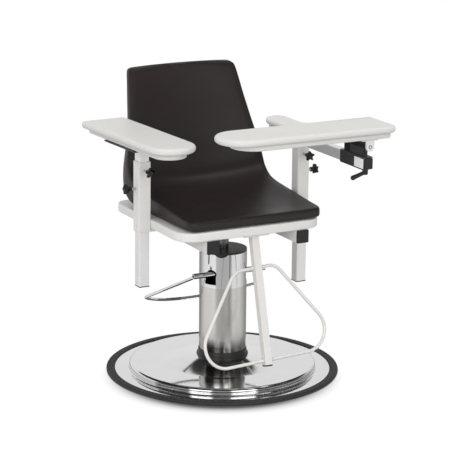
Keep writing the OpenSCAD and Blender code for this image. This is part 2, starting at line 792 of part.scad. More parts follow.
module pedal_cam() color("slategray") difference() {
  union() {
    translate([plunger_x - cam_t / 2, shaft_y, shaft_z]) rotate([0, 90, 0])
      cylinder(r = shaft_d / 2 + cam_w / 4, h = cam_t);
    translate([plunger_x - cam_t / 2, shaft_y, shaft_z - cam_w / 2])
      cube([cam_t, plunger_y - shaft_y, cam_w]);
    translate([plunger_x - cam_t / 2, plunger_y, shaft_z]) rotate([0, 90, 0])
      cylinder(r = cam_roller_r, h = cam_t);
  }
  translate([0, shaft_y, shaft_z]) rotate([0, 90, 0])
    cylinder(r = shaft_d / 2 + fit / 2, h = shaft_l);
}

// Ram

module ram() color("silver") translate([0, 0, ram_bottom_z + piston_t])
  cylinder(r = ram_r, h = mount_z - seat_gap - ram_bottom_z - piston_t);

module piston() color("darkgray") translate([0, 0, ram_bottom_z]) difference() {
  cylinder(r = cyl_in_r - fit, h = piston_t);
  for (z = [piston_t / 4, piston_t * 5 / 8]) translate([0, 0, z]) difference() {
    cylinder(r = cyl_in_r + cut, h = piston_t / 8);
    translate([0, 0, -cut]) cylinder(r = cyl_in_r - cylinder_cap_t / 4, h = piston_t / 8 + 2 * cut);
  }
}

module swivel_bush() color("goldenrod")
  ring_at(ram_r + bush_t, ram_r + fit, socket_h, socket_z);

// Seat frame

module mount_plate() color("black") difference() {
  union() {
    translate([-rail_inner_x, -mount_l / 2, mount_z])
      cube([2 * rail_inner_x, mount_l, mount_t]);
    translate([0, 0, socket_z]) cylinder(r = hub_socket_r, h = socket_h + mount_t / 2);
  }
  translate([0, 0, socket_z - cut])
    cylinder(r = ram_r + bush_t + fit / 2, h = socket_h + cut);
  for (x = [-1, 1], y = [-1, 1]) translate([x * mount_bolt_x, y * mount_bolt_y, mount_z - cut])
    cylinder(r = mount_bolt_r + fit, h = mount_t + 2 * cut);
}

module rail(side) translate([side * rail_x, rail_back, rail_z]) rotate([90, 0, 0])
  square_tube(rail_size, rail_wall, rail_round, rail_back + tray_front);

module left_rail() color(white_paint) rail(-1);

module right_rail() color(white_paint) rail(1);

// A push-in plug for the end of a square tube, drawn outward along +z
module tube_plug(s, wall, cap_thick, plug_l) {
  linear_extrude(cap_thick) soft_square(s, rail_round);
  translate([0, 0, -plug_l]) linear_extrude(plug_l)
    soft_square(s - 2 * wall - 2 * fit, max(rail_round - wall, wall / 4));
}

module rail_caps() color("black") for (s = [-1, 1]) {
  translate([s * rail_x, -tray_front, rail_z]) rotate([90, 0, 0])
    tube_plug(rail_size, rail_wall, rail_cap_t, rail_plug_l);
  translate([s * rail_x, rail_back, rail_z]) rotate([-90, 0, 0])
    tube_plug(rail_size, rail_wall, rail_cap_t, rail_plug_l);
}

module side_brackets() color(white_paint) for (s = [-1, 1]) {
  x0 = rail_x + rail_size / 2;
  translate([s > 0 ? x0 : -frame_w / 2, post_y - sleeve_size / 2, tray_z - bracket_t])
    cube([frame_w / 2 - x0, sleeve_size, bracket_t]);
}

module tray_outline() soft_rect(tray_x0, tray_x0 + tray_w, -tray_front, tray_back,
  tray_front_r, tray_back_r);

module shell_screw_places() {
  for (x = [-1, 1], y = [shell_screw_front, shell_screw_back])
    translate([x * shell_screw_x, y, tray_z]) children();
}

module mount_bolt_places() {
  for (x = [-1, 1], y = [-1, 1])
    translate([x * mount_bolt_x, y * mount_bolt_y, mount_z]) children();
}

module seat_tray() color(white_paint) difference() {
  translate([0, 0, tray_z]) linear_extrude(tray_t) tray_outline();
  shell_screw_places() translate([0, 0, -cut]) cylinder(r = screw_r + fit, h = tray_t + 2 * cut);
  mount_bolt_places() translate([0, 0, mount_t - cut])
    cylinder(r = mount_bolt_r + fit, h = tray_t * 0.6 + cut);
}

module seat_screws() color("gray") {
  shell_screw_places() {
    translate([0, 0, -screw_head_t]) cylinder(r = screw_head_r, h = screw_head_t);
    cylinder(r = screw_r, h = tray_t + screw_bite);
  }
  mount_bolt_places() {
    translate([0, 0, -mount_bolt_head_t]) cylinder(r = mount_bolt_head_r, h = mount_bolt_head_t, $fn = 6);
    cylinder(r = mount_bolt_r, h = mount_t + tray_t * 0.5);
  }
}

// One station of the shell as points, read from the table
function station(s) = let (
  b = [shell_y0 + s[0] * shell_d, shell_z + s[1] * shell_h],
  t = [shell_y0 + s[2] * shell_d, shell_z + s[3] * shell_h],
  w = s[4] * shell_w / 2,
  dish = s[5] * (s[3] < 0.2 ? dish_seat : dish_back),
  rise = s[6] * shell_arch,
  ring = concat(edge_shares, [for (x = top_shares) [x, 1]],
    [for (e = backwards(edge_shares)) [-e[0], e[1]]], [for (x = bottom_shares) [x, -1]]))
  [for (e = ring) let (
    m = (b + t) / 2 + (t - b) / 2 * e[1],
    sink = e[1] > 0 ? dish * max(0, 1 - pow(e[0] / edge_shares[6][0], 2)) : 0,
    p = m - unit(t - b) * sink)
    [e[0] * w, p[0], p[1] + rise * (1 - e[0] * e[0])]];

module seat_shell() color(black_soft) {
  rings = [for (s = shell_shares) station(s)];
  n = len(rings[0]);
  m = len(rings);
  first = [for (i = [0, 1, 2]) [for (p = rings[0]) p[i]]];
  ends = [for (r = [rings[0], rings[m - 1]]) [for (i = [0, 1, 2]) [for (p = r) p[i]] * [for (p = r) 1 / n]]];
  pts = concat([for (r = rings) each r], ends);
  sides = [for (i = [0:m - 2], k = [0:n - 1])
    let (a = i * n + k, b = i * n + (k + 1) % n) each [[a, b, a + n], [b, b + n, a + n]]];
  front = [for (k = [0:n - 1]) [m * n, (k + 1) % n, k]];
  back = [for (k = [0:n - 1]) [m * n + 1, (m - 1) * n + k, (m - 1) * n + (k + 1) % n]];
  polyhedron(points = pts, faces = concat(sides, front, back), convexity = 6);
}

// Sleeves and posts

module sleeve(side) translate([side * sleeve_x, post_y, sleeve_z0]) difference() {
  union() {
    linear_extrude(sleeve_l) soft_square(sleeve_size, rail_round);
    translate([0, 0, front_knob_h]) rotate([90, 0, 0]) cylinder(r = boss_r, h = sleeve_size / 2 + boss_t);
    translate([0, 0, outer_knob_h]) rotate([0, side * 90, 0]) cylinder(r = boss_r, h = sleeve_size / 2 + boss_t);
  }
  translate([0, 0, -cut]) linear_extrude(sleeve_l + 2 * cut) soft_square(sleeve_bore, post_round);
  translate([0, 0, front_knob_h]) rotate([90, 0, 0]) cylinder(r = stud_r + fit, h = sleeve_size);
  translate([0, 0, outer_knob_h]) rotate([0, side * 90, 0]) cylinder(r = stud_r + fit, h = sleeve_size);
}

module left_sleeve() color(white_paint) sleeve(-1);

module right_sleeve() color(white_paint) sleeve(1);

module left_post() color("silver") translate([-sleeve_x, post_y, left_post_z])
  square_tube(post_size, post_wall, post_round, left_post_l);

module right_post() color("silver") translate([sleeve_x, post_y, right_post_z])
  square_tube(post_size, post_wall, post_round, right_post_l);

// Knobs, drawn along +z from the middle of the sleeve

module star_knob(extra) {
  reach = sleeve_size / 2 + knob_reach + extra;
  difference() {
    union() {
      translate([0, 0, reach - knob_t / 2]) linear_extrude(knob_t) {
        circle(knob_core_r);
        for (i = [0:knob_lobes - 1]) rotate([0, 0, 90 + i * 360 / knob_lobes])
          translate([knob_d / 2 - lobe_r, 0]) circle(lobe_r, $fn = 32);
      }
      translate([0, 0, reach - knob_t / 2 - neck_l]) cylinder(r = neck_r, h = neck_l);
    }
    translate([0, 0, reach - knob_t / 2 - neck_l - cut])
      cylinder(r = stud_r + fit / 2, h = neck_l + knob_t / 2 + cut);
    translate([0, 0, reach + knob_t / 2 - dimple_depth]) cylinder(r = dimple_r, h = dimple_depth + cut);
  }
}

module knob_stud(extra) {
  tip = post_size / 2 + seat_gap;
  translate([0, 0, tip]) cylinder(r = stud_r, h = sleeve_size / 2 + knob_reach + extra - tip);
}

module front_place(side) translate([side * sleeve_x, post_y, sleeve_z0 + front_knob_h])
  rotate([90, 0, 0]) children();

module outer_place(side) translate([side * sleeve_x, post_y, sleeve_z0 + outer_knob_h])
  rotate([0, side * 90, 0]) children();

module left_front_knob() color("black") front_place(-1) star_knob(front_knob_extra);
module left_front_stud() color("gray") front_place(-1) knob_stud(front_knob_extra);
module left_outer_knob() color("black") outer_place(-1) star_knob(0);
module left_outer_stud() color("gray") outer_place(-1) knob_stud(0);
module right_front_knob() color("black") front_place(1) star_knob(front_knob_extra);
module right_front_stud() color("gray") front_place(1) knob_stud(front_knob_extra);
module right_outer_knob() color("black") outer_place(1) star_knob(0);
module right_outer_stud() color("gray") outer_place(1) knob_stud(0);

// Left arm board

left_pan_z = left_plate_z + arm_plate_t;

module left_place(z) translate([-sleeve_x, post_y, z]) rotate([0, 0, left_yaw])
  translate([board_shift, 0, 0]) children();

module arm_screw_places() translate([-sleeve_x, post_y, left_plate_z])
  for (x = [-1, 1], y = [arm_screw_front, arm_screw_back])
    translate([x * arm_screw_x, y, 0]) children();

module left_arm_plate() color("dimgray") difference() {
  left_place(left_plate_z) translate([arm_plate_shift - arm_plate_w / 2, -arm_plate_front, 0])
    cube([arm_plate_w, arm_plate_front + arm_plate_back, arm_plate_t]);
  arm_screw_places() translate([0, 0, -cut]) cylinder(r = arm_screw_r + fit, h = arm_plate_t + 2 * cut);
}

module left_pan() color(white_paint) left_place(left_pan_z)
  translate([(left_pan_side - pan_inner_inset) / 2, 0, 0])
  nose_plate(left_w - left_pan_side - pan_inner_inset, -left_front + pan_nose_inset,
    left_l - left_front - pan_back_inset, pan_t, pan_round);

module left_board() color(white_paint) left_place(left_pan_z + pan_t)
  bull_slab(left_w, -left_front, left_l - left_front, slab_t);

module left_arm_screws() color("gray") arm_screw_places() {
  translate([0, 0, -arm_screw_head_t]) cylinder(r = arm_screw_head_r, h = arm_screw_head_t);
  cylinder(r = arm_screw_r, h = arm_plate_t + arm_screw_bite);
}

// Right arm

module bar_core() soft_bar(bar_w - 2 * post_wall, bar_size - 2 * post_wall, post_round - post_wall / 2);

module arm_bar() color("silver") translate([sleeve_x, bar_back, bar_mid_z]) rotate([90, 0, 0])
  linear_extrude(bar_back - bar_y0) difference() {
    soft_bar(bar_w, bar_size, post_round);
    bar_core();
  }

module bar_plug() {
  linear_extrude(bar_cap_t) soft_bar(bar_w, bar_size, post_round);
  translate([0, 0, -rail_plug_l]) linear_extrude(rail_plug_l) offset(delta = -fit) bar_core();
}

module bar_caps() color("black") {
  translate([sleeve_x, bar_y0, bar_mid_z]) rotate([90, 0, 0]) bar_plug();
  translate([sleeve_x, bar_back, bar_mid_z]) rotate([-90, 0, 0]) bar_plug();
}

// The sleeve is cut away at the front, below and on the outer side
module slide_sleeve() color("black") difference() {
  union() {
    translate([sleeve_x, slide_y1, bar_mid_z]) rotate([90, 0, 0])
      linear_extrude(slide_l) soft_bar(slide_w, slide_size, rail_round);
    translate([clamp_x, clamp_y, slide_bottom - clamp_boss_t])
      cylinder(r = clamp_boss_r, h = clamp_boss_t + slide_wall / 2);
  }
  translate([sleeve_x, slide_y1 + cut, bar_mid_z]) rotate([90, 0, 0])
    linear_extrude(slide_l + 2 * cut) soft_bar(bar_w + 2 * slide_fit, bar_size + 2 * slide_fit, post_round);
  translate([sleeve_x - bar_w / 2 - slide_fit, slide_y0 - cut, slide_bottom - cut])
    cube([slide_w, cut + slide_relief, cut + slide_wall + bar_size + 2 * slide_fit]);
  translate([clamp_x, clamp_y, slide_bottom - clamp_boss_t - cut])
    cylinder(r = stud_r + fit, h = clamp_boss_t + slide_wall + 2 * cut);
}

// A blank plate on the sleeve's inner side
module slide_plate() color("white")
  translate([sleeve_x - slide_w / 2 - plate_t, slide_y0 + seat_gap, bar_mid_z - plate_h / 2])
    cube([plate_t, plate_w, plate_h]);

module hinge_block() color("black") difference() {
  union() {
    translate([0, block_y1 - block_rear_l, 0]) rotate([90, 0, 0])
      linear_extrude(block_y1 - block_rear_l - block_y0) {
        translate([block_x0 + hinge_wall_in, slide_top]) square([hinge_wall_t, hinge_z - slide_top]);
        translate([block_x0 + hinge_wall_in, hinge_z - barrel_r / 2])
          square([hinge_x - block_x0 - hinge_wall_in, barrel_r * 1.5]);
        translate([hinge_x, hinge_z]) circle(barrel_r);
      }
    translate([0, block_y1, 0]) rotate([90, 0, 0]) linear_extrude(block_rear_l) {
      translate([block_x0, slide_top]) square([block_rear_w, hinge_z + barrel_r - slide_top]);
      translate([block_x0, hinge_z - barrel_r]) square([hinge_x - block_x0, 2 * barrel_r]);
      translate([hinge_x, hinge_z]) circle(barrel_r);
    }
  }
  translate([hinge_x, block_y1 + cut, hinge_z]) rotate([90, 0, 0])
    cylinder(r = hinge_pin_r + fit / 2, h = block_y1 - block_y0 + 2 * cut);
}

// The pin ends inside the front ear, and has its head behind the rear one
module hinge_pin() color("silver") {
  y0 = block_y0 - ear_t + ear_skin;
  y1 = block_y1 + seat_gap + ear_t + seat_gap;
  translate([hinge_x, y1, hinge_z]) rotate([90, 0, 0]) cylinder(r = hinge_pin_r, h = y1 - y0);
  translate([hinge_x, y1 + pin_head_t, hinge_z]) rotate([90, 0, 0]) cylinder(r = pin_head_r, h = pin_head_t);
}

module flip_screw_places() {
  for (x = [-1, 1], y = [-1, 1])
    translate([hinge_x + x * flip_screw_x, (block_y0 + block_y1) / 2 + y * flip_screw_y, flip_plate_z])
      children();
}

module ear(y) translate([hinge_x, y, hinge_z]) rotate([90, 0, 0]) linear_extrude(ear_t) {
  circle(hinge_r);
  translate([-hinge_r, 0]) square([2 * hinge_r, flip_plate_z - hinge_z + flip_plate_t / 2]);
}

module flip_bracket() color(white_paint) difference() {
  union() {
    translate([hinge_x - flip_plate_half, block_y0 - seat_gap - ear_t, flip_plate_z])
      cube([2 * flip_plate_half, block_y1 - block_y0 + 2 * (seat_gap + ear_t), flip_plate_t]);
    ear(block_y0 - seat_gap);
    ear(block_y1 + seat_gap + ear_t);
  }
  translate([hinge_x, block_y1 + seat_gap + ear_t + cut, hinge_z]) rotate([90, 0, 0])
    cylinder(r = hinge_pin_r + fit, h = block_y1 - block_y0 + 2 * seat_gap + 2 * ear_t - ear_skin + cut);
  flip_screw_places() {
    translate([0, 0, -cut]) cylinder(r = arm_screw_r + fit, h = flip_plate_t + 2 * cut);
    translate([0, 0, -cut]) cylinder(r = arm_screw_head_r + fit, h = flip_plate_t / 2 + cut);
  }
}

module flip_place(z) translate([hinge_x, cross_mid_y, z]) children();

// The crossing board's nose points to -x
module cross_place(z) flip_place(z) rotate([0, 0, -90]) children();

module tongue_place(z) flip_place(z) translate([-tongue_x, 0, 0]) rotate([0, 0, 180]) children();

module flip_pan() color(white_paint) {
  cross_place(flip_pan_z) nose_plate(cross_w - 2 * pan_inset, -cross_in + cross_nose_inset,
    cross_out - pan_inset, pan_t, pan_round);
  tongue_place(flip_pan_z) nose_plate(tongue_w - pan_inset, -cross_w / 2 - tongue_l + pan_inset,
    0, pan_t, pan_round);
}

module flip_board() color(white_paint) {
  cross_place(flip_slab_z) bull_slab(cross_w, -cross_in, cross_out, slab_t);
  tongue_place(flip_slab_z) bull_slab(tongue_w, -cross_w / 2 - tongue_l, 0, slab_t);
}

module flip_screws() color("gray") flip_screw_places() {
  cylinder(r = arm_screw_head_r, h = flip_plate_t / 2);
  cylinder(r = arm_screw_r, h = flip_plate_t + arm_screw_bite);
}

lever_top = slide_bottom - clamp_boss_t - seat_gap;

module clamp_lever() color("black") translate([clamp_x, clamp_y, lever_top - lever_hub_h]) difference() {
  union() {
    cylinder(r = lever_hub_r, h = lever_hub_h);
    rotate([0, 0, lever_turn]) translate([0, 0, lever_hub_h / 2])
      rotate([0, 90 + atan2(lever_drop, lever_l), 0]) {
        cylinder(r1 = lever_r, r2 = lever_end_r, h = norm([lever_l, lever_drop]));
        translate([0, 0, norm([lever_l, lever_drop])]) sphere(lever_end_r);
      }
  }
  translate([0, 0, lever_hub_h / 2]) cylinder(r = stud_r + fit / 2, h = lever_hub_h);
}

module clamp_screw() color("silver")
  translate([clamp_x, clamp_y, lever_top - lever_hub_h / 2])
    cylinder(r = stud_r, h = bar_z - seat_gap - lever_top + lever_hub_h / 2);

// Footrest, drawn down its leaning post in the plane of the loop

loop_corners = [[-loop_top_w, -loop_top], [loop_top_w, -loop_top],
  [loop_bottom_w, -loop_bottom], [-loop_bottom_w, -loop_bottom]];
loop_bends = [loop_top_r, loop_top_r, loop_bottom_r, loop_bottom_r];

module foot_place() translate([0, -foot_off, foot_top_z]) rotate([-foot_lean, 0, 0]) children();

module skewed() translate([0, 0, -loop_mid]) rotate([0, -loop_skew, 0])
  translate([0, 0, loop_mid]) rotate([90, 0, 0]) children();

module footrest_plate() color(white_paint)
  translate([-foot_plate_w / 2, -foot_off - foot_plate_l / 2 + foot_plate_t, foot_top_z])
    cube([foot_plate_w, foot_plate_l, foot_plate_t]);

module footrest_post() color(white_paint) difference() {
  foot_place() difference() {
    translate([0, 0, -foot_l]) square_tube(foot_post, foot_wall, rail_round / 2, foot_l + foot_post);
    skewed() for (v = [loop_top, loop_bottom]) translate([-foot_post, -v, 0])
      rotate([0, 90, 0]) cylinder(r = foot_rod_r + fit, h = 2 * foot_post);
  }
  translate([-foot_post, -foot_off - foot_post * 2, foot_top_z])
    cube([2 * foot_post, foot_post * 4, foot_post * 2]);
}

module footrest_loop() color(white_paint) foot_place() skewed()
  swept_rod(loop_points(loop_corners, loop_bends, bend_steps), foot_rod_r, true);

module footrest_plug() color("black") foot_place() translate([0, 0, -foot_l]) rotate([180, 0, 0]) {
  linear_extrude(foot_plug_t) soft_square(foot_post, rail_round / 2);
  translate([0, 0, -foot_plug_t]) linear_extrude(foot_plug_t)
    soft_square(foot_post - 2 * foot_wall - 2 * fit, foot_wall / 4);
}

base_ring();
base_cover();
base_casting();
base_bolts();
column_collar();
column_tube();
column_sleeve();
column_cap();
pump_head();
ram_gland();
pump_cylinder();
plunger_block();
plunger();
plunger_spring();
pedal_shaft();
pedal_loop();
pedal_cam();
ram();
piston();
swivel_bush();
mount_plate();
left_rail();
right_rail();
rail_caps();
side_brackets();
seat_tray();
seat_shell();
seat_screws();
left_sleeve();
right_sleeve();
footrest_plate();
footrest_post();
footrest_loop();
footrest_plug();
left_post();
left_arm_plate();
left_pan();
left_board();
left_arm_screws();
right_post();
arm_bar();
bar_caps();
slide_sleeve();
slide_plate();
hinge_block();
hinge_pin();
flip_bracket();
flip_pan();
flip_board();
flip_screws();
clamp_lever();
clamp_screw();
left_front_knob();
left_front_stud();
left_outer_knob();
left_outer_stud();
right_front_knob();
right_front_stud();
right_outer_knob();
right_outer_stud();
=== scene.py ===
import json
from math import acos, atan2, cos, degrees, pi, radians, sin, tan

import bmesh
import bpy
from mathutils import Matrix, Vector


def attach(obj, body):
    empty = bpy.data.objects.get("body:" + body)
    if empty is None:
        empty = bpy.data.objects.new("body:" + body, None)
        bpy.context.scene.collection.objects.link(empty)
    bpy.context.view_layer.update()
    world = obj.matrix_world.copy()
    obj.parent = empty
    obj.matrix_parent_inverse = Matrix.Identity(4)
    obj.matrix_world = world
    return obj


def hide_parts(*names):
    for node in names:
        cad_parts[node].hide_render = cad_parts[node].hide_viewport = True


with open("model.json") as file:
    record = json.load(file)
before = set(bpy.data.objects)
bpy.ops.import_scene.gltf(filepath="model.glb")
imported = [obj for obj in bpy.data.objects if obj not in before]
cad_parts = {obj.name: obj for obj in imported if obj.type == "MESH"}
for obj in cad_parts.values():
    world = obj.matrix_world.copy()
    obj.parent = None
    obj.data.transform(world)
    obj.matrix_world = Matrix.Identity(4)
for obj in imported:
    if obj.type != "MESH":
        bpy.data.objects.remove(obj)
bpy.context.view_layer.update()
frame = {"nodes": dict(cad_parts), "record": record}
nodes = frame["nodes"]
scene = bpy.context.scene

# Sizes below are millimetres, as the drawings of the chair give them, and mm
# turns them into the metres of the scene.
mm = 0.001


# Camera

camera_turn = -27.75
camera_tilt = 14.39
camera_roll = 0.54
camera_range = 6267.8 * mm
camera_aim = Vector((4.04, -2.13, 440.48)) * mm
# The picture is square, and this is its focal length in widths of the picture
camera_focal = 2148.72 / 450
sensor_width = 36


def make_camera():
    turn, tilt, roll = radians(camera_turn), radians(camera_tilt), radians(camera_roll)
    ahead = Vector((-sin(turn) * cos(tilt), cos(turn) * cos(tilt), -sin(tilt)))
    level = Vector((cos(turn), sin(turn), 0))
    above = level.cross(ahead)
    right = level * cos(roll) + above * sin(roll)
    up = above * cos(roll) - level * sin(roll)
    place = Matrix((right, up, -ahead)).transposed().to_4x4()
    place.translation = camera_aim - ahead * camera_range
    data = bpy.data.cameras.new("camera")
    data.sensor_fit = "HORIZONTAL"
    data.sensor_width = sensor_width
    data.lens = camera_focal * sensor_width
    data.clip_end = 60
    camera = bpy.data.objects.new("camera", data)
    camera.matrix_world = place
    scene.collection.objects.link(camera)
    scene.camera = camera


# Finishes

class Value:
    """A socket of a finish that can be used in a sum."""

    def __init__(self, finish, socket):
        self.finish = finish
        self.socket = socket

    def _sum(self, operation, *terms):
        return self.finish.add("ShaderNodeMath", {"operation": operation}, terms)

    def __add__(self, other): return self._sum("ADD", self, other)
    def __sub__(self, other): return self._sum("SUBTRACT", self, other)
    def __rsub__(self, other): return self._sum("SUBTRACT", other, self)
    def __mul__(self, other): return self._sum("MULTIPLY", self, other)
    def __truediv__(self, other): return self._sum("DIVIDE", self, other)

    def clipped(self):
        return self.finish.add("ShaderNodeClamp", {}, [self])


class Finish:
    """A procedural finish, with one method that adds any node it needs."""

    def __init__(self, name, slot, kind="materials", place="Object"):
        self.slot = slot
        self.material = getattr(bpy.data, kind).new(name)
        self.material.use_nodes = True
        self.tree = self.material.node_tree
        self.tree.nodes.clear()
        self.place = self.add("ShaderNodeTexCoord", {}, [], place)

    def add(self, kind, settings, inputs, output=0):
        node = self.tree.nodes.new(kind)
        for name, setting in settings.items():
            if name == "stops":
                ramp = node.color_ramp
                while len(ramp.elements) > len(setting):
                    ramp.elements.remove(ramp.elements[-1])
                while len(ramp.elements) < len(setting):
                    ramp.elements.new(1)
                for element, (position, shade) in zip(ramp.elements, setting):
                    element.position = position
                    element.color = (*shade, 1)
            else:
                setattr(node, name, setting)
        pairs = inputs.items() if isinstance(inputs, dict) else enumerate(inputs)
        for name, value in pairs:
            socket = node.inputs[name]
            if isinstance(value, Value):
                self.tree.links.new(value.socket, socket)
            elif value is not None:
                if socket.type == "RGBA" and len(value) == 3:
                    value = (*value, 1)
                socket.default_value = value
        return Value(self, node.outputs[output]) if len(node.outputs) else None

    def stretched(self, scale, turn=(0, 0, 0)):
        return self.add("ShaderNodeMapping", {}, {
            "Vector": self.place, "Scale": scale, "Rotation": turn})

    def noise(self, scale, detail=3, roughness=0.5, where=None, distortion=0):
        return self.add("ShaderNodeTexNoise", {}, {
            "Vector": where or self.place, "Scale": scale, "Detail": detail,
            "Roughness": roughness, "Distortion": distortion}, "Fac")

    def cells(self, scale, feature, where=None):
        return self.add("ShaderNodeTexVoronoi", {"feature": feature},
                        {"Vector": where or self.place, "Scale": scale}, "Distance")

    def ramp(self, value, stops):
        return self.add("ShaderNodeValToRGB", {"stops": stops}, [value], "Color")

    def blended(self, share, first, second):
        return self.add("ShaderNodeMix", {"data_type": "RGBA"}, {0: share, 6: first, 7: second}, 2)

    def bump(self, height, depth, strength, after=None):
        return self.add("ShaderNodeBump", {}, {
            "Height": height, "Distance": depth, "Strength": strength, "Normal": after})

    def finish(self, **sockets):
        names = {name.replace("_", " "): value for name, value in sockets.items()}
        shader = self.add("ShaderNodeBsdfPrincipled", {}, names)
        self.add("ShaderNodeOutputMaterial", {}, {"Surface": shader})
        return self


def make_powder_coat():
    f = Finish("off_white_powder_coat", "white_paint")
    cloud = f.noise(7, 4, 0.6)
    dust = f.noise(55, 3, 0.7)
    colour = f.blended(cloud * 0.5 + dust * 0.3, (0.745, 0.730, 0.709), (0.660, 0.640, 0.616))
    peel = f.noise(620, 2, 0.4)
    pits = f.noise(1900, 2, 0.5)
    return f.finish(
        Base_Color=colour,
        Roughness=f.noise(40, 3, 0.6) * 0.16 + 0.34,
        Specular_IOR_Level=0.4,
        Coat_Weight=0.15,
        Coat_Roughness=0.2,
        Normal=f.bump(peel + pits * 0.4, 0.00006, 0.35))


def make_board():
    f = Finish("off_white_board", "board")
    cloud = f.noise(5, 4, 0.6)
    fleck = f.noise(130, 4, 0.7)
    colour = f.blended(cloud * 0.45 + fleck * 0.25, (0.660, 0.649, 0.630), (0.590, 0.575, 0.553))
    grain = f.noise(900, 3, 0.6)
    return f.finish(
        Base_Color=colour,
        Roughness=f.noise(28, 4, 0.6) * 0.2 + 0.36,
        Specular_IOR_Level=0.4,
        Normal=f.bump(grain + f.noise(60, 2, 0.5) * 0.6, 0.00005, 0.3))


def make_shell_skin():
    f = Finish("black_moulded_skin", "shell")
    cloud = f.noise(6, 4, 0.6)
    pebble = f.cells(560, "SMOOTH_F1")
    crease = f.cells(300, "DISTANCE_TO_EDGE", f.stretched((1, 1.2, 1)))
    fold = (crease * 9).clipped()
    fine = f.noise(2600, 2, 0.5)
    colour = f.blended(cloud * 0.6 + fold * 0.2, (0.0165, 0.0122, 0.0118), (0.0245, 0.0182, 0.0176))
    worn = f.noise(14, 5, 0.65)
    return f.finish(
        Base_Color=colour,
        Roughness=worn * 0.14 + 0.36 - fold * 0.03,
        Specular_IOR_Level=0.30,
        Normal=f.bump(fine, 0.00004, 0.35, f.bump(fold * 0.5 - pebble * 0.6, 0.00009, 0.45)))


def make_chrome():
    f = Finish("polished_chrome", "chrome")
    smear = f.noise(16, 5, 0.65, distortion=0.6)
    hair = f.noise(90, 3, 0.6, f.stretched((1, 1, 26)))
    colour = f.blended(smear, (0.80, 0.80, 0.80), (0.73, 0.73, 0.735))
    return f.finish(
        Base_Color=colour,
        Metallic=1.0,
        Roughness=((smear - 0.42) * 0.2).clipped() + 0.045 + hair * 0.02,
        Normal=f.bump(f.noise(24, 2, 0.5), 0.0001, 0.12))


def make_satin_tube():
    f = Finish("satin_plated_tube", "satin_steel")
    streak = f.noise(120, 4, 0.7, f.stretched((1, 1, 0.06)))
    blotch = f.noise(20, 5, 0.7, f.stretched((1, 1, 0.35)), 0.8)
    plain = f.blended(streak * 0.4 + blotch * 0.6, (0.74, 0.73, 0.705), (0.56, 0.55, 0.53))
    height = f.add("ShaderNodeSeparateXYZ", {}, [f.place], "Z")
    # The tube's colour is darkened in patches from its foot up to this height: a painted reflection
    # of the dark collar and bell below it
    painted_reflection_top = 0.099
    # Share of the painted dark reflection, strongest at the foot and fading upwards
    foot = ((painted_reflection_top - height + f.noise(28, 3, 0.6) * 0.026) * 34).clipped()
    patch = f.noise(42, 2, 0.5, f.stretched((1, 1, 0.12)), 0.5)
    dark = foot * (0.95 - ((patch - 0.46) * 6).clipped() * 0.7)
    # The painted dark reflection takes this colour
    colour = f.blended(dark, plain, (0.055, 0.052, 0.048))
    return f.finish(
        Base_Color=colour,
        Metallic=1.0,
        Roughness=blotch * 0.16 + streak * 0.06 + 0.12,
        Normal=f.bump(streak + blotch * 0.5, 0.00007, 0.3))


def make_metal(name, slot, colour, dull, roughness, grain, depth):
    f = Finish(name, slot)
    cloud = f.noise(35, 4, 0.65)
    scratch = f.noise(grain, 3, 0.6, f.stretched((1, 1, 0.2)))
    return f.finish(
        Base_Color=f.blended(cloud, colour, dull),
        Metallic=1.0,
        Roughness=cloud * 0.14 + scratch * 0.08 + roughness,
        Normal=f.bump(scratch, depth, 0.4))


def make_black_paint():
    f = Finish("black_gloss_paint", "black_paint")
    cloud = f.noise(22, 4, 0.6)
    peel = f.noise(520, 2, 0.4)
    worn = f.noise(70, 5, 0.7)
    return f.finish(
        Base_Color=f.blended(cloud, (0.018, 0.0175, 0.017), (0.030, 0.029, 0.028)),
        Roughness=worn * 0.16 + 0.24,
        Specular_IOR_Level=0.22,
        Coat_Weight=0.06,
        Coat_Roughness=0.12,
        Normal=f.bump(peel, 0.00006, 0.3))


def make_black_plastic():
    f = Finish("black_moulded_plastic", "black_plastic")
    spark = f.noise(1500, 3, 0.6)
    cloud = f.noise(40, 3, 0.6)
    return f.finish(
        Base_Color=f.blended(cloud, (0.014, 0.014, 0.014), (0.024, 0.023, 0.023)),
        Roughness=cloud * 0.15 + 0.38,
        Specular_IOR_Level=0.28,
        Normal=f.bump(spark, 0.00006, 0.5))


def make_ring_rubber():
    f = Finish("black_ring_rubber", "rubber")
    dust = f.noise(45, 5, 0.7)
    grit = f.noise(700, 3, 0.6)
    return f.finish(
        Base_Color=f.blended(dust, (0.020, 0.0195, 0.019), (0.036, 0.035, 0.033)),
        Roughness=dust * 0.18 + 0.50,
        Specular_IOR_Level=0.36,
        Normal=f.bump(grit, 0.00012, 0.5))


def make_plated_bar():
    f = Finish("dull_plated_bar", "plated")
    cloud = f.noise(18, 4, 0.6)
    drawn = f.noise(90, 3, 0.6, f.stretched((1, 1, 0.12)))
    return f.finish(
        Base_Color=f.blended(cloud * 0.6 + drawn * 0.3, (0.83, 0.82, 0.815), (0.75, 0.74, 0.74)),
        Metallic=0.35,
        Roughness=cloud * 0.12 + 0.24,
        Normal=f.bump(drawn, 0.00002, 0.1))


def make_graphite_paint():
    f = Finish("worn_graphite_paint", "graphite")
    cloud = f.noise(30, 4, 0.6)
    fleck = f.noise(260, 4, 0.7)
    return f.finish(
        Base_Color=f.blended(cloud * 0.6 + fleck * 0.4,
                             (0.034, 0.033, 0.034), (0.060, 0.058, 0.058)),
        Roughness=fleck * 0.2 + 0.3,
        Specular_IOR_Level=0.4,
        Normal=f.bump(fleck, 0.00005, 0.35))


def make_blank_plate():
    f = Finish("blank_white_plate", "plate")
    cloud = f.noise(60, 3, 0.6)
    return f.finish(
        Base_Color=f.blended(cloud, (0.95, 0.95, 0.95), (0.90, 0.90, 0.90)),
        Roughness=cloud * 0.1 + 0.28,
        Normal=f.bump(f.noise(300, 2, 0.5), 0.00004, 0.3))


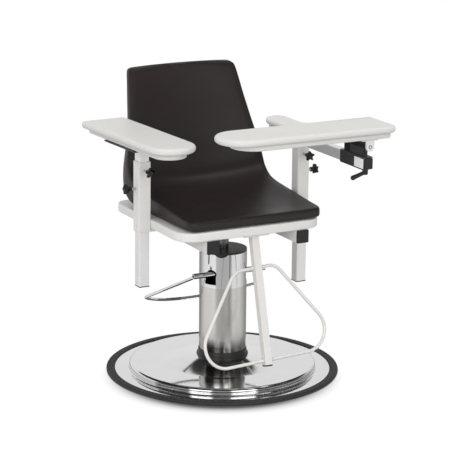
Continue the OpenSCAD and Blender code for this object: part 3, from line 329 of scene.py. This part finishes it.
finishes = {f.slot: f for f in (
    make_powder_coat(), make_board(), make_shell_skin(), make_chrome(), make_satin_tube(),
    make_metal("zinc_plated_steel", "steel", (0.66, 0.66, 0.67), (0.52, 0.52, 0.54),
               roughness=0.22, grain=260, depth=0.00006),
    make_metal("bare_cast_iron", "iron", (0.20, 0.20, 0.205), (0.12, 0.12, 0.125),
               roughness=0.45, grain=180, depth=0.0002),
    make_metal("sintered_bronze", "bronze", (0.58, 0.42, 0.21), (0.45, 0.31, 0.15),
               roughness=0.30, grain=400, depth=0.00006),
    make_plated_bar(), make_graphite_paint(),
    # A darker copy of chrome for the ram: painted dark reflections of the seat's underside and the
    # cap below it
    make_metal("ram_chrome_with_painted_reflections", "chrome_with_painted_dark_reflections", (0.20, 0.20, 0.20), (0.13, 0.13, 0.13),
               roughness=0.10, grain=300, depth=0.00003),
    make_black_paint(), make_black_plastic(), make_ring_rubber(), make_blank_plate())}
node_slots = {s["node"]: s["material_slot"] for s in frame["record"]["subparts"]}
# Drawn parts whose look differs from that of their material. The ram is chrome, and its finish is
# chrome darkened to paint the dark reflections it shows under the seat
own_finishes = {"ram": "chrome_with_painted_dark_reflections", "left_post": "plated", "right_post": "plated",
                "arm_bar": "plated", "slide_sleeve": "graphite"}


def paint(piece, slot):
    """Gives a piece its finish, in place of any that it has."""
    piece.data.materials.clear()
    piece.data.materials.append(finishes[slot].material)


def smooth(piece, angle):
    piece.data.polygons.foreach_set("use_smooth", [True] * len(piece.data.polygons))
    piece.data.set_sharp_from_angle(angle=radians(angle))


# Making pieces

def make_piece(name, points, faces, body, slot, angle=40, stands_for=()):
    """A mesh piece in millimetres that rides on a body and has a finish."""
    mesh = bpy.data.meshes.new(name)
    mesh.from_pydata([Vector(p) * mm for p in points], [], faces)
    shaper = bmesh.new()
    shaper.from_mesh(mesh)
    bmesh.ops.remove_doubles(shaper, verts=shaper.verts, dist=1e-7)
    bmesh.ops.recalc_face_normals(shaper, faces=shaper.faces)
    shaper.to_mesh(mesh)
    shaper.free()
    piece = bpy.data.objects.new(name, mesh)
    scene.collection.objects.link(piece)
    paint(piece, slot)
    smooth(piece, angle)
    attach(piece, body)
    if stands_for:
        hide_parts(*stands_for)
    return piece


def loft(rings, closed=False, capped=True):
    """Points and faces of a skin over rings that have as many points each."""
    count = len(rings[0])
    points = [p for ring in rings for p in ring]
    faces = []
    last = len(rings) if closed else len(rings) - 1
    for i in range(last):
        a, b = i * count, (i + 1) % len(rings) * count
        faces += [(a + k, a + (k + 1) % count, b + (k + 1) % count, b + k) for k in range(count)]
    if capped and not closed:
        faces.append(tuple(reversed(range(count))))
        faces.append(tuple(range(last * count, (last + 1) * count)))
    return points, faces


def lathe(profile, centre, axis, sides, closed=False):
    """A turned piece: its profile gives radius and height along the axis."""
    axis = Vector(axis).normalized()
    across = axis.orthogonal().normalized()
    third = axis.cross(across)
    centre = Vector(centre)
    rings = [[centre + axis * h + (across * cos(a) + third * sin(a)) * max(r, 0.01)
              for a in (2 * pi * k / sides for k in range(sides))] for r, h in profile]
    return loft(rings, closed)


def sweep(path, radius, sides, closed=False):
    """A round bar along a path, with one radius or one for each point."""
    path = [Vector(p) for p in path]
    count = len(path)
    side = None
    rings = []
    for i, p in enumerate(path):
        before = (p - path[i - 1]).normalized() if closed or i else (path[1] - p).normalized()
        after = (path[(i + 1) % count] - p).normalized() if closed or i < count - 1 else before
        along = (before + after).normalized()
        if side is None:
            side = along.orthogonal().normalized()
        side = (side - along * side.dot(along)).normalized()
        third = along.cross(side)
        r = radius[i] if isinstance(radius, (list, tuple)) else radius
        rings.append([p + (side * cos(a) + third * sin(a)) * r
                      for a in (2 * pi * k / sides for k in range(sides))])
    return loft(rings, closed)


def join(parts):
    """Several (points, faces) as one."""
    points, faces = [], []
    for more_points, more_faces in parts:
        start = len(points)
        points += more_points
        faces += [tuple(start + i for i in face) for face in more_faces]
    return points, faces


def arc(centre, radius, start, end, steps):
    """Points of an arc from one angle in degrees to another."""
    turns = [radians(start + (end - start) * i / steps) for i in range(steps + 1)]
    return [(centre[0] + radius * cos(a), centre[1] + radius * sin(a)) for a in turns]


def rounded_path(corners, bends, steps):
    """A closed outline with its corners rounded, as points."""
    outline = []
    count = len(corners)
    for i in range(count):
        a, b, c = (Vector(corners[(i + k) % count]) for k in (-1, 0, 1))
        before, after = (b - a).normalized(), (c - b).normalized()
        turn = acos(max(-1, min(1, before.dot(after))))
        if bends[i] == 0 or turn < 1e-4:
            outline.append(tuple(b))
            continue
        into = b - before * bends[i] * tan(turn / 2)
        middle = b + (after - before).normalized() * bends[i] / cos(turn / 2)
        start = degrees(atan2(*reversed(into - middle)))
        way = 1 if before.cross(after) > 0 else -1
        outline += arc(middle, bends[i], start, start + way * degrees(turn), steps)
    return outline


def inset(outline, depth):
    """A counter-clockwise outline moved inwards along its own normals."""
    moved = []
    count = len(outline)
    for i in range(count):
        a, b, c = (Vector(outline[(i + k) % count]) for k in (-1, 0, 1))
        before, after = (b - a).normalized(), (c - b).normalized()
        along = (before + after).normalized()
        inwards = Vector((-along.y, along.x))
        moved.append(tuple(b + inwards * depth / max(0.4, along.dot(before))))
    return moved


def slab(outline, edge, place, soft):
    """A flat board over an outline. edge lists (inset, height) from its
    underside to its top, place turns (x, y, height) into a point, and soft is
    how much further in the last rows of the two flat sides lie."""
    first, last = edge[0], edge[-1]
    edge = [(first[0] + soft, first[1])] + list(edge) + [(last[0] + soft, last[1])]
    rings = [[place(x, y, h) for x, y in inset(outline, d)] for d, h in edge]
    return loft(rings)


def round_edge(thickness, radius, steps=6):
    """The edge of a board of that thickness, rounded above and below."""
    turns = [radians(90 * i / steps) for i in range(steps + 1)]
    below = [(radius - radius * sin(a), radius - radius * cos(a)) for a in turns]
    above = [(d, thickness - h) for d, h in reversed(below)]
    return below + above if thickness > 2 * radius else below + above[1:]


def soften(node, width, segments=2, angle=35):
    """Rounds the edges of a drawn part without changing its mesh."""
    modifier = nodes[node].modifiers.new("edges", "BEVEL")
    modifier.width = width * mm
    modifier.segments = segments
    modifier.limit_method = "ANGLE"
    modifier.angle_limit = radians(angle)
    modifier.use_clamp_overlap = True
    modifier.harden_normals = True


make_camera()
for name, node in nodes.items():
    paint(node, own_finishes.get(name, node_slots[name]))


# Floor, backdrop and light

# Polished metal sees a pale wall behind the chair, dark ones at both its flanks
# and bright ones in front with a dim gap between them. The ceiling is dim, and
# the floor is dimmer in front of the chair and behind it. The shares go once
# round the chair, from behind it by its left side and its front to its right.
ceiling_seen = [(0.0, 0.05), (0.5, 0.04), (0.8, 0.015), (1.0, 0.015)]
walls_seen = [(0.0, 0.87), (0.10, 0.87), (0.25, 0.80), (0.262, 0.13), (0.385, 0.13),
              (0.398, 2.4), (0.46, 2.4), (0.47, 0.3), (0.528, 0.3), (0.538, 2.4),
              (0.612, 2.4), (0.625, 0.15), (0.80, 0.15), (0.885, 0.60), (0.95, 0.87),
              (1.0, 0.87)]
room_turn = 117.75
floor_seen = [(0.0, 0.22), (0.13, 0.34), (0.23, 0.88), (0.40, 1.0), (0.415, 0.56),
              (0.50, 0.50), (0.61, 0.52), (0.625, 0.88), (0.74, 0.86), (0.84, 0.42),
              (1.0, 0.22)]
# The floor that metal sees turns plain white from this far out
plain_from = 1.7
plain_floor = (0.95, 0.95, 0.95)
# Metal sees the ceiling over the walls from this height of the view upwards
ceiling_from = 0.475
# It also sees one lamp, in this direction and within this closeness to it
lamp_seen = (0.30, -0.08, 0.95)
lamp_edge = 0.965
lamp_level = (2.2, 2.2, 2.2)
# What lights the other surfaces, from straight below to straight above
sky_light = [(0.3, 0.40), (0.5, 0.62), (0.65, 0.92), (1.0, 1.0)]
sky_strength = 0.84

# The camera sees a lit floor under the chair, and from this far out a white one with a painted soft
# shadow beside the ring, which falls a little to the front
white_from = 0.30
shadow_centre = (-0.0256, -0.0487, 0)
shadow_from = 0.29
shadow_width = 0.08
shadow_seen = [(0.0, 0.04), (0.05, 0.10), (0.22, 0.39), (0.40, 0.68), (0.60, 0.89),
               (0.84, 1.0)]
floor_half = 14


def shades(stops):
    return [(position, (level, level, level)) for position, level in stops]


def kinds_of_ray(f):
    """Whether a ray comes from the camera, and whether it was mirrored."""
    seen = f.add("ShaderNodeLightPath", {}, [], "Is Camera Ray")
    mirrored = (f.add("ShaderNodeLightPath", {}, [], "Is Glossy Ray")
                + f.add("ShaderNodeLightPath", {}, [], "Is Transmission Ray")).clipped()
    return seen, mirrored


def round_chair(f):
    """How far round the chair a place or a direction lies, as a share of a turn."""
    facing = f.stretched((1, 1, 1), (0, 0, radians(room_turn)))
    x = f.add("ShaderNodeSeparateXYZ", {}, [facing], "X")
    y = f.add("ShaderNodeSeparateXYZ", {}, [facing], "Y")
    return f.add("ShaderNodeMath", {"operation": "ARCTAN2"}, [y, x]) / (2 * pi) + 0.5


def make_stage():
    f = Finish("pale_studio_floor", "floor")
    seen, mirrored = kinds_of_ray(f)
    plain = f.add("ShaderNodeBsdfDiffuse", {}, {"Color": (0.94, 0.94, 0.94)})
    away = f.add("ShaderNodeVectorMath", {"operation": "LENGTH"}, [f.place], "Value")
    far = ((away - white_from) * 20).clipped()
    shadow = f.add("ShaderNodeVectorMath", {"operation": "DISTANCE"},
                   [f.place, shadow_centre], "Value")
    shade = f.ramp((shadow - shadow_from) * (1 / shadow_width), shades(shadow_seen))
    beyond = ((away - plain_from) * 2).clipped()
    floor_there = f.blended(beyond, f.ramp(round_chair(f), shades(floor_seen)), plain_floor)
    room = f.add("ShaderNodeEmission", {}, {"Color": floor_there, "Strength": 1.0})
    bounce = f.add("ShaderNodeBsdfDiffuse", {}, {"Color": (0.55, 0.55, 0.55)})
    # The white floor's colour here is the painted shadow
    white = f.add("ShaderNodeEmission", {}, {"Color": shade, "Strength": 1.0})
    shown = f.add("ShaderNodeMixShader", {}, [far, plain, white])
    lit = f.add("ShaderNodeMixShader", {}, [seen, bounce, shown])
    mixed = f.add("ShaderNodeMixShader", {}, [mirrored, lit, room])
    f.add("ShaderNodeOutputMaterial", {}, {"Surface": mixed})
    mesh = bpy.data.meshes.new("studio_floor")
    corners = ((-1, -1), (1, -1), (1, 1), (-1, 1))
    mesh.from_pydata([(x * floor_half, y * floor_half, 0) for x, y in corners], [], [(0, 1, 2, 3)])
    floor = bpy.data.objects.new("studio_floor", mesh)
    floor.data.materials.append(f.material)
    scene.collection.objects.link(floor)


def make_world():
    f = Finish("studio", "backdrop", "worlds", "Generated")
    seen, mirrored = kinds_of_ray(f)
    height = f.add("ShaderNodeSeparateXYZ", {}, [f.place], "Z")
    soft = f.add("ShaderNodeBackground", {}, {
        "Color": f.ramp(height * 0.5 + 0.5, shades(sky_light)), "Strength": sky_strength})
    over = ((height - ceiling_from) * 34).clipped()
    walls = f.ramp(round_chair(f), shades(walls_seen))
    ceiling = f.ramp(height, shades(ceiling_seen))
    lamp = f.add("ShaderNodeVectorMath", {"operation": "DOT_PRODUCT"},
                 [f.place, lamp_seen], "Value")
    lit = ((lamp - lamp_edge) * 60).clipped()
    seen_there = f.blended(lit, f.blended(over, walls, ceiling), lamp_level)
    room = f.add("ShaderNodeBackground", {}, {"Color": seen_there, "Strength": 1.0})
    white = f.add("ShaderNodeBackground", {}, {"Color": (1, 1, 1), "Strength": 1.0})
    mixed = f.add("ShaderNodeMixShader", {}, [mirrored, soft, room])
    shown = f.add("ShaderNodeMixShader", {}, [seen, mixed, white])
    f.add("ShaderNodeOutputWorld", {}, {"Surface": shown})
    scene.world = f.material


def make_lamp(name, place, aim, width, height, power):
    data = bpy.data.lights.new(name, "AREA")
    data.shape = "RECTANGLE"
    data.size, data.size_y = width, height
    data.energy = power
    lamp = bpy.data.objects.new(name, data)
    lamp.location = place
    lamp.rotation_euler = (Vector(aim) - Vector(place)).to_track_quat("-Z", "Y").to_euler()
    lamp.visible_glossy = False
    scene.collection.objects.link(lamp)


make_stage()
make_world()
make_lamp("window_left", (-3.4, -2.6, 1.9), (0, 0, 0.5), width=2.4, height=2.6, power=74)
make_lamp("ceiling", (0.2, -0.4, 4.2), (0, 0, 0), width=3.2, height=3.2, power=38)
make_lamp("window_front", (0.8, -4.2, 1.6), (0, 0, 0.5), width=2.6, height=2.2, power=34)

scene.view_settings.view_transform = "Standard"


# Seat shell

shell_base = 485.0
shell_lip = -207
shell_depth = 507
shell_height = 397
shell_width = 434
dish_seat = 16
dish_back = 20
shell_arch = 6
# Each row gives shares: the underside's y and z, the sitter's side's y and z,
# the half width, the dish of the middle and the rise of the arched top
shell_rows = [
    (0.000, 0.020, 0.000, 0.062, 0.885, 0.00, 0.0),
    (0.003, 0.014, 0.005, 0.071, 0.925, 0.00, 0.0),
    (0.012, 0.011, 0.017, 0.077, 0.955, 0.05, 0.0),
    (0.040, 0.009, 0.045, 0.080, 0.982, 0.20, 0.0),
    (0.110, 0.005, 0.110, 0.084, 0.992, 0.45, 0.0),
    (0.187, 0.003, 0.187, 0.091, 0.995, 0.70, 0.0),
    (0.357, 0.000, 0.357, 0.110, 1.000, 1.00, 0.0),
    (0.515, 0.000, 0.497, 0.126, 1.000, 1.15, 0.0),
    (0.640, 0.001, 0.582, 0.142, 1.000, 1.30, 0.0),
    (0.716, 0.004, 0.641, 0.160, 1.012, 1.45, 0.0),
    (0.769, 0.021, 0.684, 0.185, 1.026, 1.55, 0.0),
    (0.812, 0.058, 0.718, 0.217, 1.034, 1.55, 0.0),
    (0.838, 0.108, 0.740, 0.260, 1.036, 1.50, 0.0),
    (0.850, 0.169, 0.757, 0.308, 1.032, 1.40, 0.0),
    (0.854, 0.260, 0.770, 0.375, 1.018, 1.30, 0.0),
    (0.858, 0.390, 0.781, 0.432, 0.984, 1.15, 0.0),
    (0.870, 0.496, 0.798, 0.498, 0.948, 1.05, 0.0),
    (0.896, 0.612, 0.826, 0.598, 0.909, 1.00, 0.0),
    (0.934, 0.745, 0.868, 0.726, 0.870, 0.90, 0.1),
    (0.968, 0.874, 0.909, 0.858, 0.834, 0.70, 0.5),
    (0.990, 0.936, 0.930, 0.925, 0.812, 0.50, 0.9),
    (1.000, 0.957, 0.944, 0.954, 0.790, 0.30, 1.0),
    (0.994, 0.969, 0.960, 0.967, 0.750, 0.00, 0.7)]
# The side edge of the shell: share of the half width, and place between the
# underside at -1 and the sitter's side at 1
shell_edge = [(0.92, -1), (0.955, -0.97), (0.98, -0.86), (0.996, -0.55), (1, 0), (0.999, 0.5),
              (0.996, 0.82), (0.987, 0.96), (0.972, 1)]
shell_across = [0.86, 0.74, 0.62, 0.5, 0.375, 0.25, 0.125, 0]
shell_under = (-0.75, -0.5, -0.25, 0, 0.25, 0.5, 0.75)
# The seat's dish turns into the back's between these shares of the height
back_from = 0.16
back_run = 0.1
# The dish ends at this share of the half width
dish_end = 0.945
rows_between = 3


def between(rows, steps):
    """More rows along a smooth curve through the given ones."""
    filled = []
    for i in range(len(rows) - 1):
        p = [rows[max(0, min(len(rows) - 1, i + k))] for k in (-1, 0, 1, 2)]
        for s in range(steps):
            t = s / steps
            filled.append(tuple(
                b + 0.5 * t * (c - a + t * (2 * a - 5 * b + 4 * c - d + t * (3 * (b - c) + d - a)))
                for a, b, c, d in zip(*p)))
    filled.append(rows[-1])
    return filled


def shell_ring(row):
    under = Vector((0, shell_lip + row[0] * shell_depth, shell_base + row[1] * shell_height))
    top = Vector((0, shell_lip + row[2] * shell_depth, shell_base + row[3] * shell_height))
    half = row[4] * shell_width / 2
    blend = min(1, max(0, (row[3] - back_from) / back_run))
    dish = row[5] * (dish_seat + (dish_back - dish_seat) * blend)
    shares = (shell_edge + [(x, 1) for x in shell_across]
              + [(-x, 1) for x in reversed(shell_across[:-1])]
              + [(-x, e) for x, e in reversed(shell_edge)] + [(x, -1) for x in shell_under])
    centre, reach = (under + top) / 2, (top - under) / 2
    ring = []
    for x, e in shares:
        p = centre + reach * e
        if e == 1:
            share = max(0, 1 - (x / dish_end) ** 2) ** 1.15
            p = p - (top - under).normalized() * dish * share
        ring.append(Vector((x * half, p.y, p.z + row[6] * shell_arch * (1 - x * x))))
    return ring


def make_shell():
    rows = between(shell_rows, rows_between)
    points, faces = loft([shell_ring(row) for row in rows], capped=False)
    count = len(points) // len(rows)
    for start, flip in ((0, 1), ((len(rows) - 1) * count, 0)):
        middle = sum((Vector(p) for p in points[start:start + count]), Vector()) / count
        points.append(middle)
        hub = len(points) - 1
        for k in range(count):
            edge = (start + k, start + (k + 1) % count)
            faces.append((hub, *(edge if flip else reversed(edge))))
    shell = make_piece("moulded_seat_shell", points, faces, "seat", "shell", 60, ("seat_shell",))


make_shell()


# Boards, tray and their edges

# Both arms' posts stand this far to the side and this far behind the column
post_x = 259.15
post_y = 7.5
left_turn = 3.2
# The left board's middle lies this far to the left of its post
left_shift = 2

board_thick = 20
board_round = 9.2
pan_thick = 15
pan_round = 4
pan_base_left = 700
pan_base_flip = 744.93
inner_row = 4


def left_place(base):
    turn = radians(left_turn)

    def place(x, y, h):
        x -= left_shift
        return (-post_x + x * cos(turn) - y * sin(turn),
                post_y + x * sin(turn) + y * cos(turn), base + h)
    return place


def level_place(base):
    return lambda x, y, h: (x, y, base + h)


def nose_outline(half, front, back, corner):
    """A board with a half-round front end and rounded back corners."""
    return (arc((0, front + half), half, 180, 360, 24)
            + arc((half - corner, back - corner), corner, 0, 90, 8)
            + arc((-half + corner, back - corner), corner, 90, 180, 8))


def make_left_board():
    outline = nose_outline(half=72.5, front=-236, back=238, corner=14)
    points, faces = slab(outline, round_edge(board_thick, board_round),
                         left_place(pan_base_left + pan_thick), inner_row)
    make_piece("left_arm_slab", points, faces, "left_arm", "board", 30, ("left_board",))
    outwards = 3.5
    outline = nose_outline(half=49, front=-216, back=231, corner=14)
    points, faces = slab([(x - outwards, y) for x, y in outline],
                         round_edge(pan_thick, pan_round), left_place(pan_base_left), inner_row)
    make_piece("left_arm_tray", points, faces, "left_arm", "board", 30, ("left_pan",))


def flip_outline(nose, out, front, back, tongue, tongue_end, middle, corners, fillet):
    """The crossing board's outline: nose to the left, tongue to the rear."""
    half = (back - front) / 2
    centre = (nose + half, (front + back) / 2)
    t = tongue / 2
    left, right = middle - t, middle + t
    return (arc(centre, half, 90, 270, 24)
            + arc((out - corners[0], front + corners[0]), corners[0], 270, 360, 8)
            + arc((out - corners[1], back - corners[1]), corners[1], 0, 90, 8)
            + arc((right + fillet, back + fillet), fillet, 270, 180, 8)
            + arc((middle, tongue_end - t), t, 0, 180, 16)
            + arc((left - fillet, back + fillet), fillet, 0, -90, 8))


def make_flip_board():
    front, back, tongue_end, middle, margin = -399.45, -245.45, -110.45, 95, 12
    outline = flip_outline(
        nose=-190, out=343, front=front, back=back, tongue=65, tongue_end=tongue_end,
        middle=middle, corners=(30, 11), fillet=17)
    points, faces = slab(outline, round_edge(board_thick, board_round),
                         level_place(pan_base_flip + pan_thick), inner_row)
    make_piece("crossing_arm_slab", points, faces, "flip_arm", "board", 30, ("flip_board",))
    outline = flip_outline(
        nose=-147, out=331, front=front + margin, back=back - margin, tongue=53,
        tongue_end=tongue_end - margin, middle=middle, corners=(22, 8), fillet=12)
    points, faces = slab(outline, round_edge(pan_thick, pan_round),
                         level_place(pan_base_flip), inner_row)
    make_piece("crossing_arm_tray", points, faces, "flip_arm", "board", 30, ("flip_pan",))


def make_tray():
    left, right, front, back, base, thick = -240.1, 217.9, -212, 241, 459.3, 25.4
    front_bend, back_bend, edge_round = 60, 40, 3
    outline = rounded_path([(left, front), (right, front), (right, back), (left, back)],
                           [front_bend, front_bend, back_bend, back_bend], 14)
    points, faces = slab(outline, round_edge(thick, edge_round), level_place(base), 5)
    make_piece("rounded_seat_tray", points, faces, "seat", "white_paint", 30, ("seat_tray",))


make_left_board()
make_flip_board()
make_tray()


# Bent rods

def make_footrest_loop():
    """The loop is narrow above and wide below, leans and is a little askew."""
    lean, skew = radians(14.6), radians(2.9)
    top, foot, top_half, foot_half, top_bend, foot_bend = 94, 359, 65.5, 254, 45, 64
    origin_y, origin_z, radius = -184, 454.3, 4.75
    middle = (top + foot) / 2
    outline = rounded_path(
        [(-top_half, -top), (top_half, -top), (foot_half, -foot), (-foot_half, -foot)],
        [top_bend, top_bend, foot_bend, foot_bend], 22)

    def place(u, v):
        v += middle
        u, v = u * cos(skew) - v * sin(skew), u * sin(skew) + v * cos(skew)
        v -= middle
        return (u, origin_y + v * sin(lean), origin_z + v * cos(lean))
    points, faces = sweep([place(u, v) for u, v in outline], radius, 24, True)
    make_piece("footrest_rod", points, faces, "seat", "white_paint", 60, ("footrest_loop",))


make_footrest_loop()


# Base cover and collar

def make_cover():
    """The chrome cover rises to the column like the bell of a horn."""
    rim, fillet, shoulder = (330, 9), arc((279, 13), 4, 270, 180, 8), arc((266, 20), 9, 0, 90, 14)
    bell_r, bell_top_r, mouth_r, step, sheet = 172.0, 75.5, 74.2, 1.5, 2.5
    # The bell's slope in degrees is given at one radius and steepens inwards
    slope_there, slope_r = 7.4, 149
    bell = []
    r, z = bell_r, 29.0
    while r > bell_top_r:
        bell.append((r, z))
        slope = slope_there * (slope_r / r) ** 1.3 * min(1, (bell_r - r) / 7 + 0.1)
        r, z = r - step, z + step * tan(radians(slope))
    outer = [rim] + fillet + shoulder + bell + [(mouth_r, z + 0.3)]
    inner = [(r, z - sheet) for r, z in reversed(outer[:-1])]
    points, faces = lathe(outer + [(mouth_r, z - 2)] + inner, (0, 0, 0), (0, 0, 1), 288, True)
    make_piece("turned_base_cover", points, faces, "base", "chrome", 40, ("base_cover",))
    bead = [(70.1, 43), (73.2, 43), (74.2, 45.4), (76.0, 47.4), (76.8, 50.5), (76.2, 54),
            (74.4, 57.4), (72.7, 60.6), (71.6, 64.5), (71.4, 69.4), (71.0, 70.2), (70.1, 70.2)]
    points, faces = lathe(bead, (0, 0, 0), (0, 0, 1), 160, True)
    make_piece("rounded_collar", points, faces, "base", "black_paint", 40, ("column_collar",))


make_cover()


# Knobs, lever and the edges of the drawn tubes

def lobed_outline(reach, core, lobes, narrow):
    """A star with pointed lobes, the first along y."""
    outline, steps = [], 80
    for k in range(steps):
        turn = 2 * pi * k / steps
        lobe = (0.5 + 0.5 * cos(lobes * (turn - pi / 2))) ** narrow
        r = core + (reach - core) * lobe
        outline.append((r * cos(turn), r * sin(turn)))
    return outline


def make_knob(node, centre, axis, start, face):
    """A star knob whose face is so far along the axis, on a neck that starts
    nearer in."""
    axis, centre = Vector(axis), Vector(centre)
    up = Vector((0, 0, 1)) if abs(axis.y) > 0.5 else Vector((0, 1, 0))
    side = up.cross(axis)

    def place(x, y, h):
        return centre + side * x + up * y + axis * h
    head_thick = 13
    head = face - head_thick
    star = slab(lobed_outline(reach=15, core=8.2, lobes=5, narrow=1.5),
                [(1.8, head), (0.5, head + 0.9), (0, head + 2.5), (0, face - 4),
                 (0.6, face - 1.8), (2.0, face - 0.5)], place, 2.2)
    neck = lathe([(4.2, start), (6.6, start), (7, start + 0.6), (7, head + 0.5),
                  (4.2, head + 0.5)], centre, axis, 40, True)
    button = lathe([(0, face - 1), (6.4, face - 1), (6.6, face - 0.4), (6.0, face + 0.5),
                    (0, face + 0.8)], centre, axis, 40)
    make_piece(node.replace("knob", "star"), *join([star, neck, button]), node,
               "black_plastic", 45, (node,))


def make_knobs():
    sleeve_foot, front_up, outer_up = 449.8, 181, 127
    for side, name in ((-1, "left"), (1, "right")):
        make_knob(name + "_front_knob", (side * post_x, post_y, sleeve_foot + front_up),
                  (0, -1, 0), start=38.05, face=61.05)
        make_knob(name + "_outer_knob", (side * post_x, post_y, sleeve_foot + outer_up),
                  (side, 0, 0), start=34.05, face=57.05)


def make_lever():
    """The clamp lever turns on its screw under the slide sleeve."""
    x, y, top, arm_below, ball_r = 262.15, -353.0, 652.82, 6.7, 7.3
    hub = lathe([(0, 0), (6.4, 0), (7.8, -1), (8.2, -3), (8.2, -10.5), (7.4, -12.8),
                 (5.6, -13.5), (0, -13.5)], (x, y, top), (0, 0, 1), 40)
    turn, reach, drop = radians(162), 34, 15
    along = Vector((cos(turn) * reach, sin(turn) * reach, -drop))
    start = Vector((x, y, top - arm_below))
    arm = sweep([start + along * t for t in (0.05, 0.2, 0.5, 0.8, 1.0)],
                (5.4, 5.7, 5.9, 6.3, 6.6), 24)
    ball = lathe([(0, -ball_r)] + arc((0, 0), ball_r, -75, 75, 10) + [(0, ball_r)],
                 start + along, along, 28)
    make_piece("lever_arm", *join([hub, arm, ball]), "clamp", "black_plastic", 50, ("clamp_lever",))


def box(low, high):
    x0, y0, z0 = low
    x1, y1, z1 = high
    points = [(x, y, z) for z in (z0, z1) for x, y in ((x0, y0), (x1, y0), (x1, y1), (x0, y1))]
    return points, [(3, 2, 1, 0), (4, 5, 6, 7), (0, 1, 5, 4), (1, 2, 6, 5), (2, 3, 7, 6),
                    (3, 0, 4, 7)]


def make_hinge_trim():
    """A thin dark panel on the hinge's left wall, and a ring round its pin."""
    points, faces = box((245.5, -370, 697.5), (246.3, -296, 719.5))
    make_piece("hinge_wall_panel", points, faces, "carriage", "iron")
    pin_end, hole_r, ring_r = (261.0, -379.3, 723.33), 3.4, 5.0
    ring = lathe([(hole_r, -0.4), (ring_r, -0.4), (ring_r, 0.5), (hole_r, 0.5)],
                 pin_end, (0, -1, 0), 32, True)
    make_piece("hinge_pin_ring", *ring, "flip_arm", "black_plastic")


def make_post_feet():
    """Thin black feet, which reach a little into the lower ends of the posts."""
    half, thick, inside = 15.6, 3, 0.4
    for name, x, z in (("left", -post_x, 289), ("right", post_x, 242)):
        points, faces = box((x - half, post_y - half, z - thick),
                            (x + half, post_y + half, z + inside))
        make_piece(name + "_post_foot", points, faces, name + "_arm", "black_plastic")


def soften_tubes():
    widths = {"left_sleeve": 0.9, "right_sleeve": 0.9, "left_post": 0.5, "right_post": 0.5,
              "arm_bar": 0.5, "slide_sleeve": 0.9, "left_rail": 0.8, "right_rail": 0.8,
              "footrest_post": 0.8, "hinge_block": 0.8, "flip_bracket": 0.7,
              "left_arm_plate": 0.5, "column_cap": 1.0, "side_brackets": 0.8}
    for node, width in widths.items():
        soften(node, width)


make_knobs()
make_lever()
make_hinge_trim()
make_post_feet()
soften_tubes()
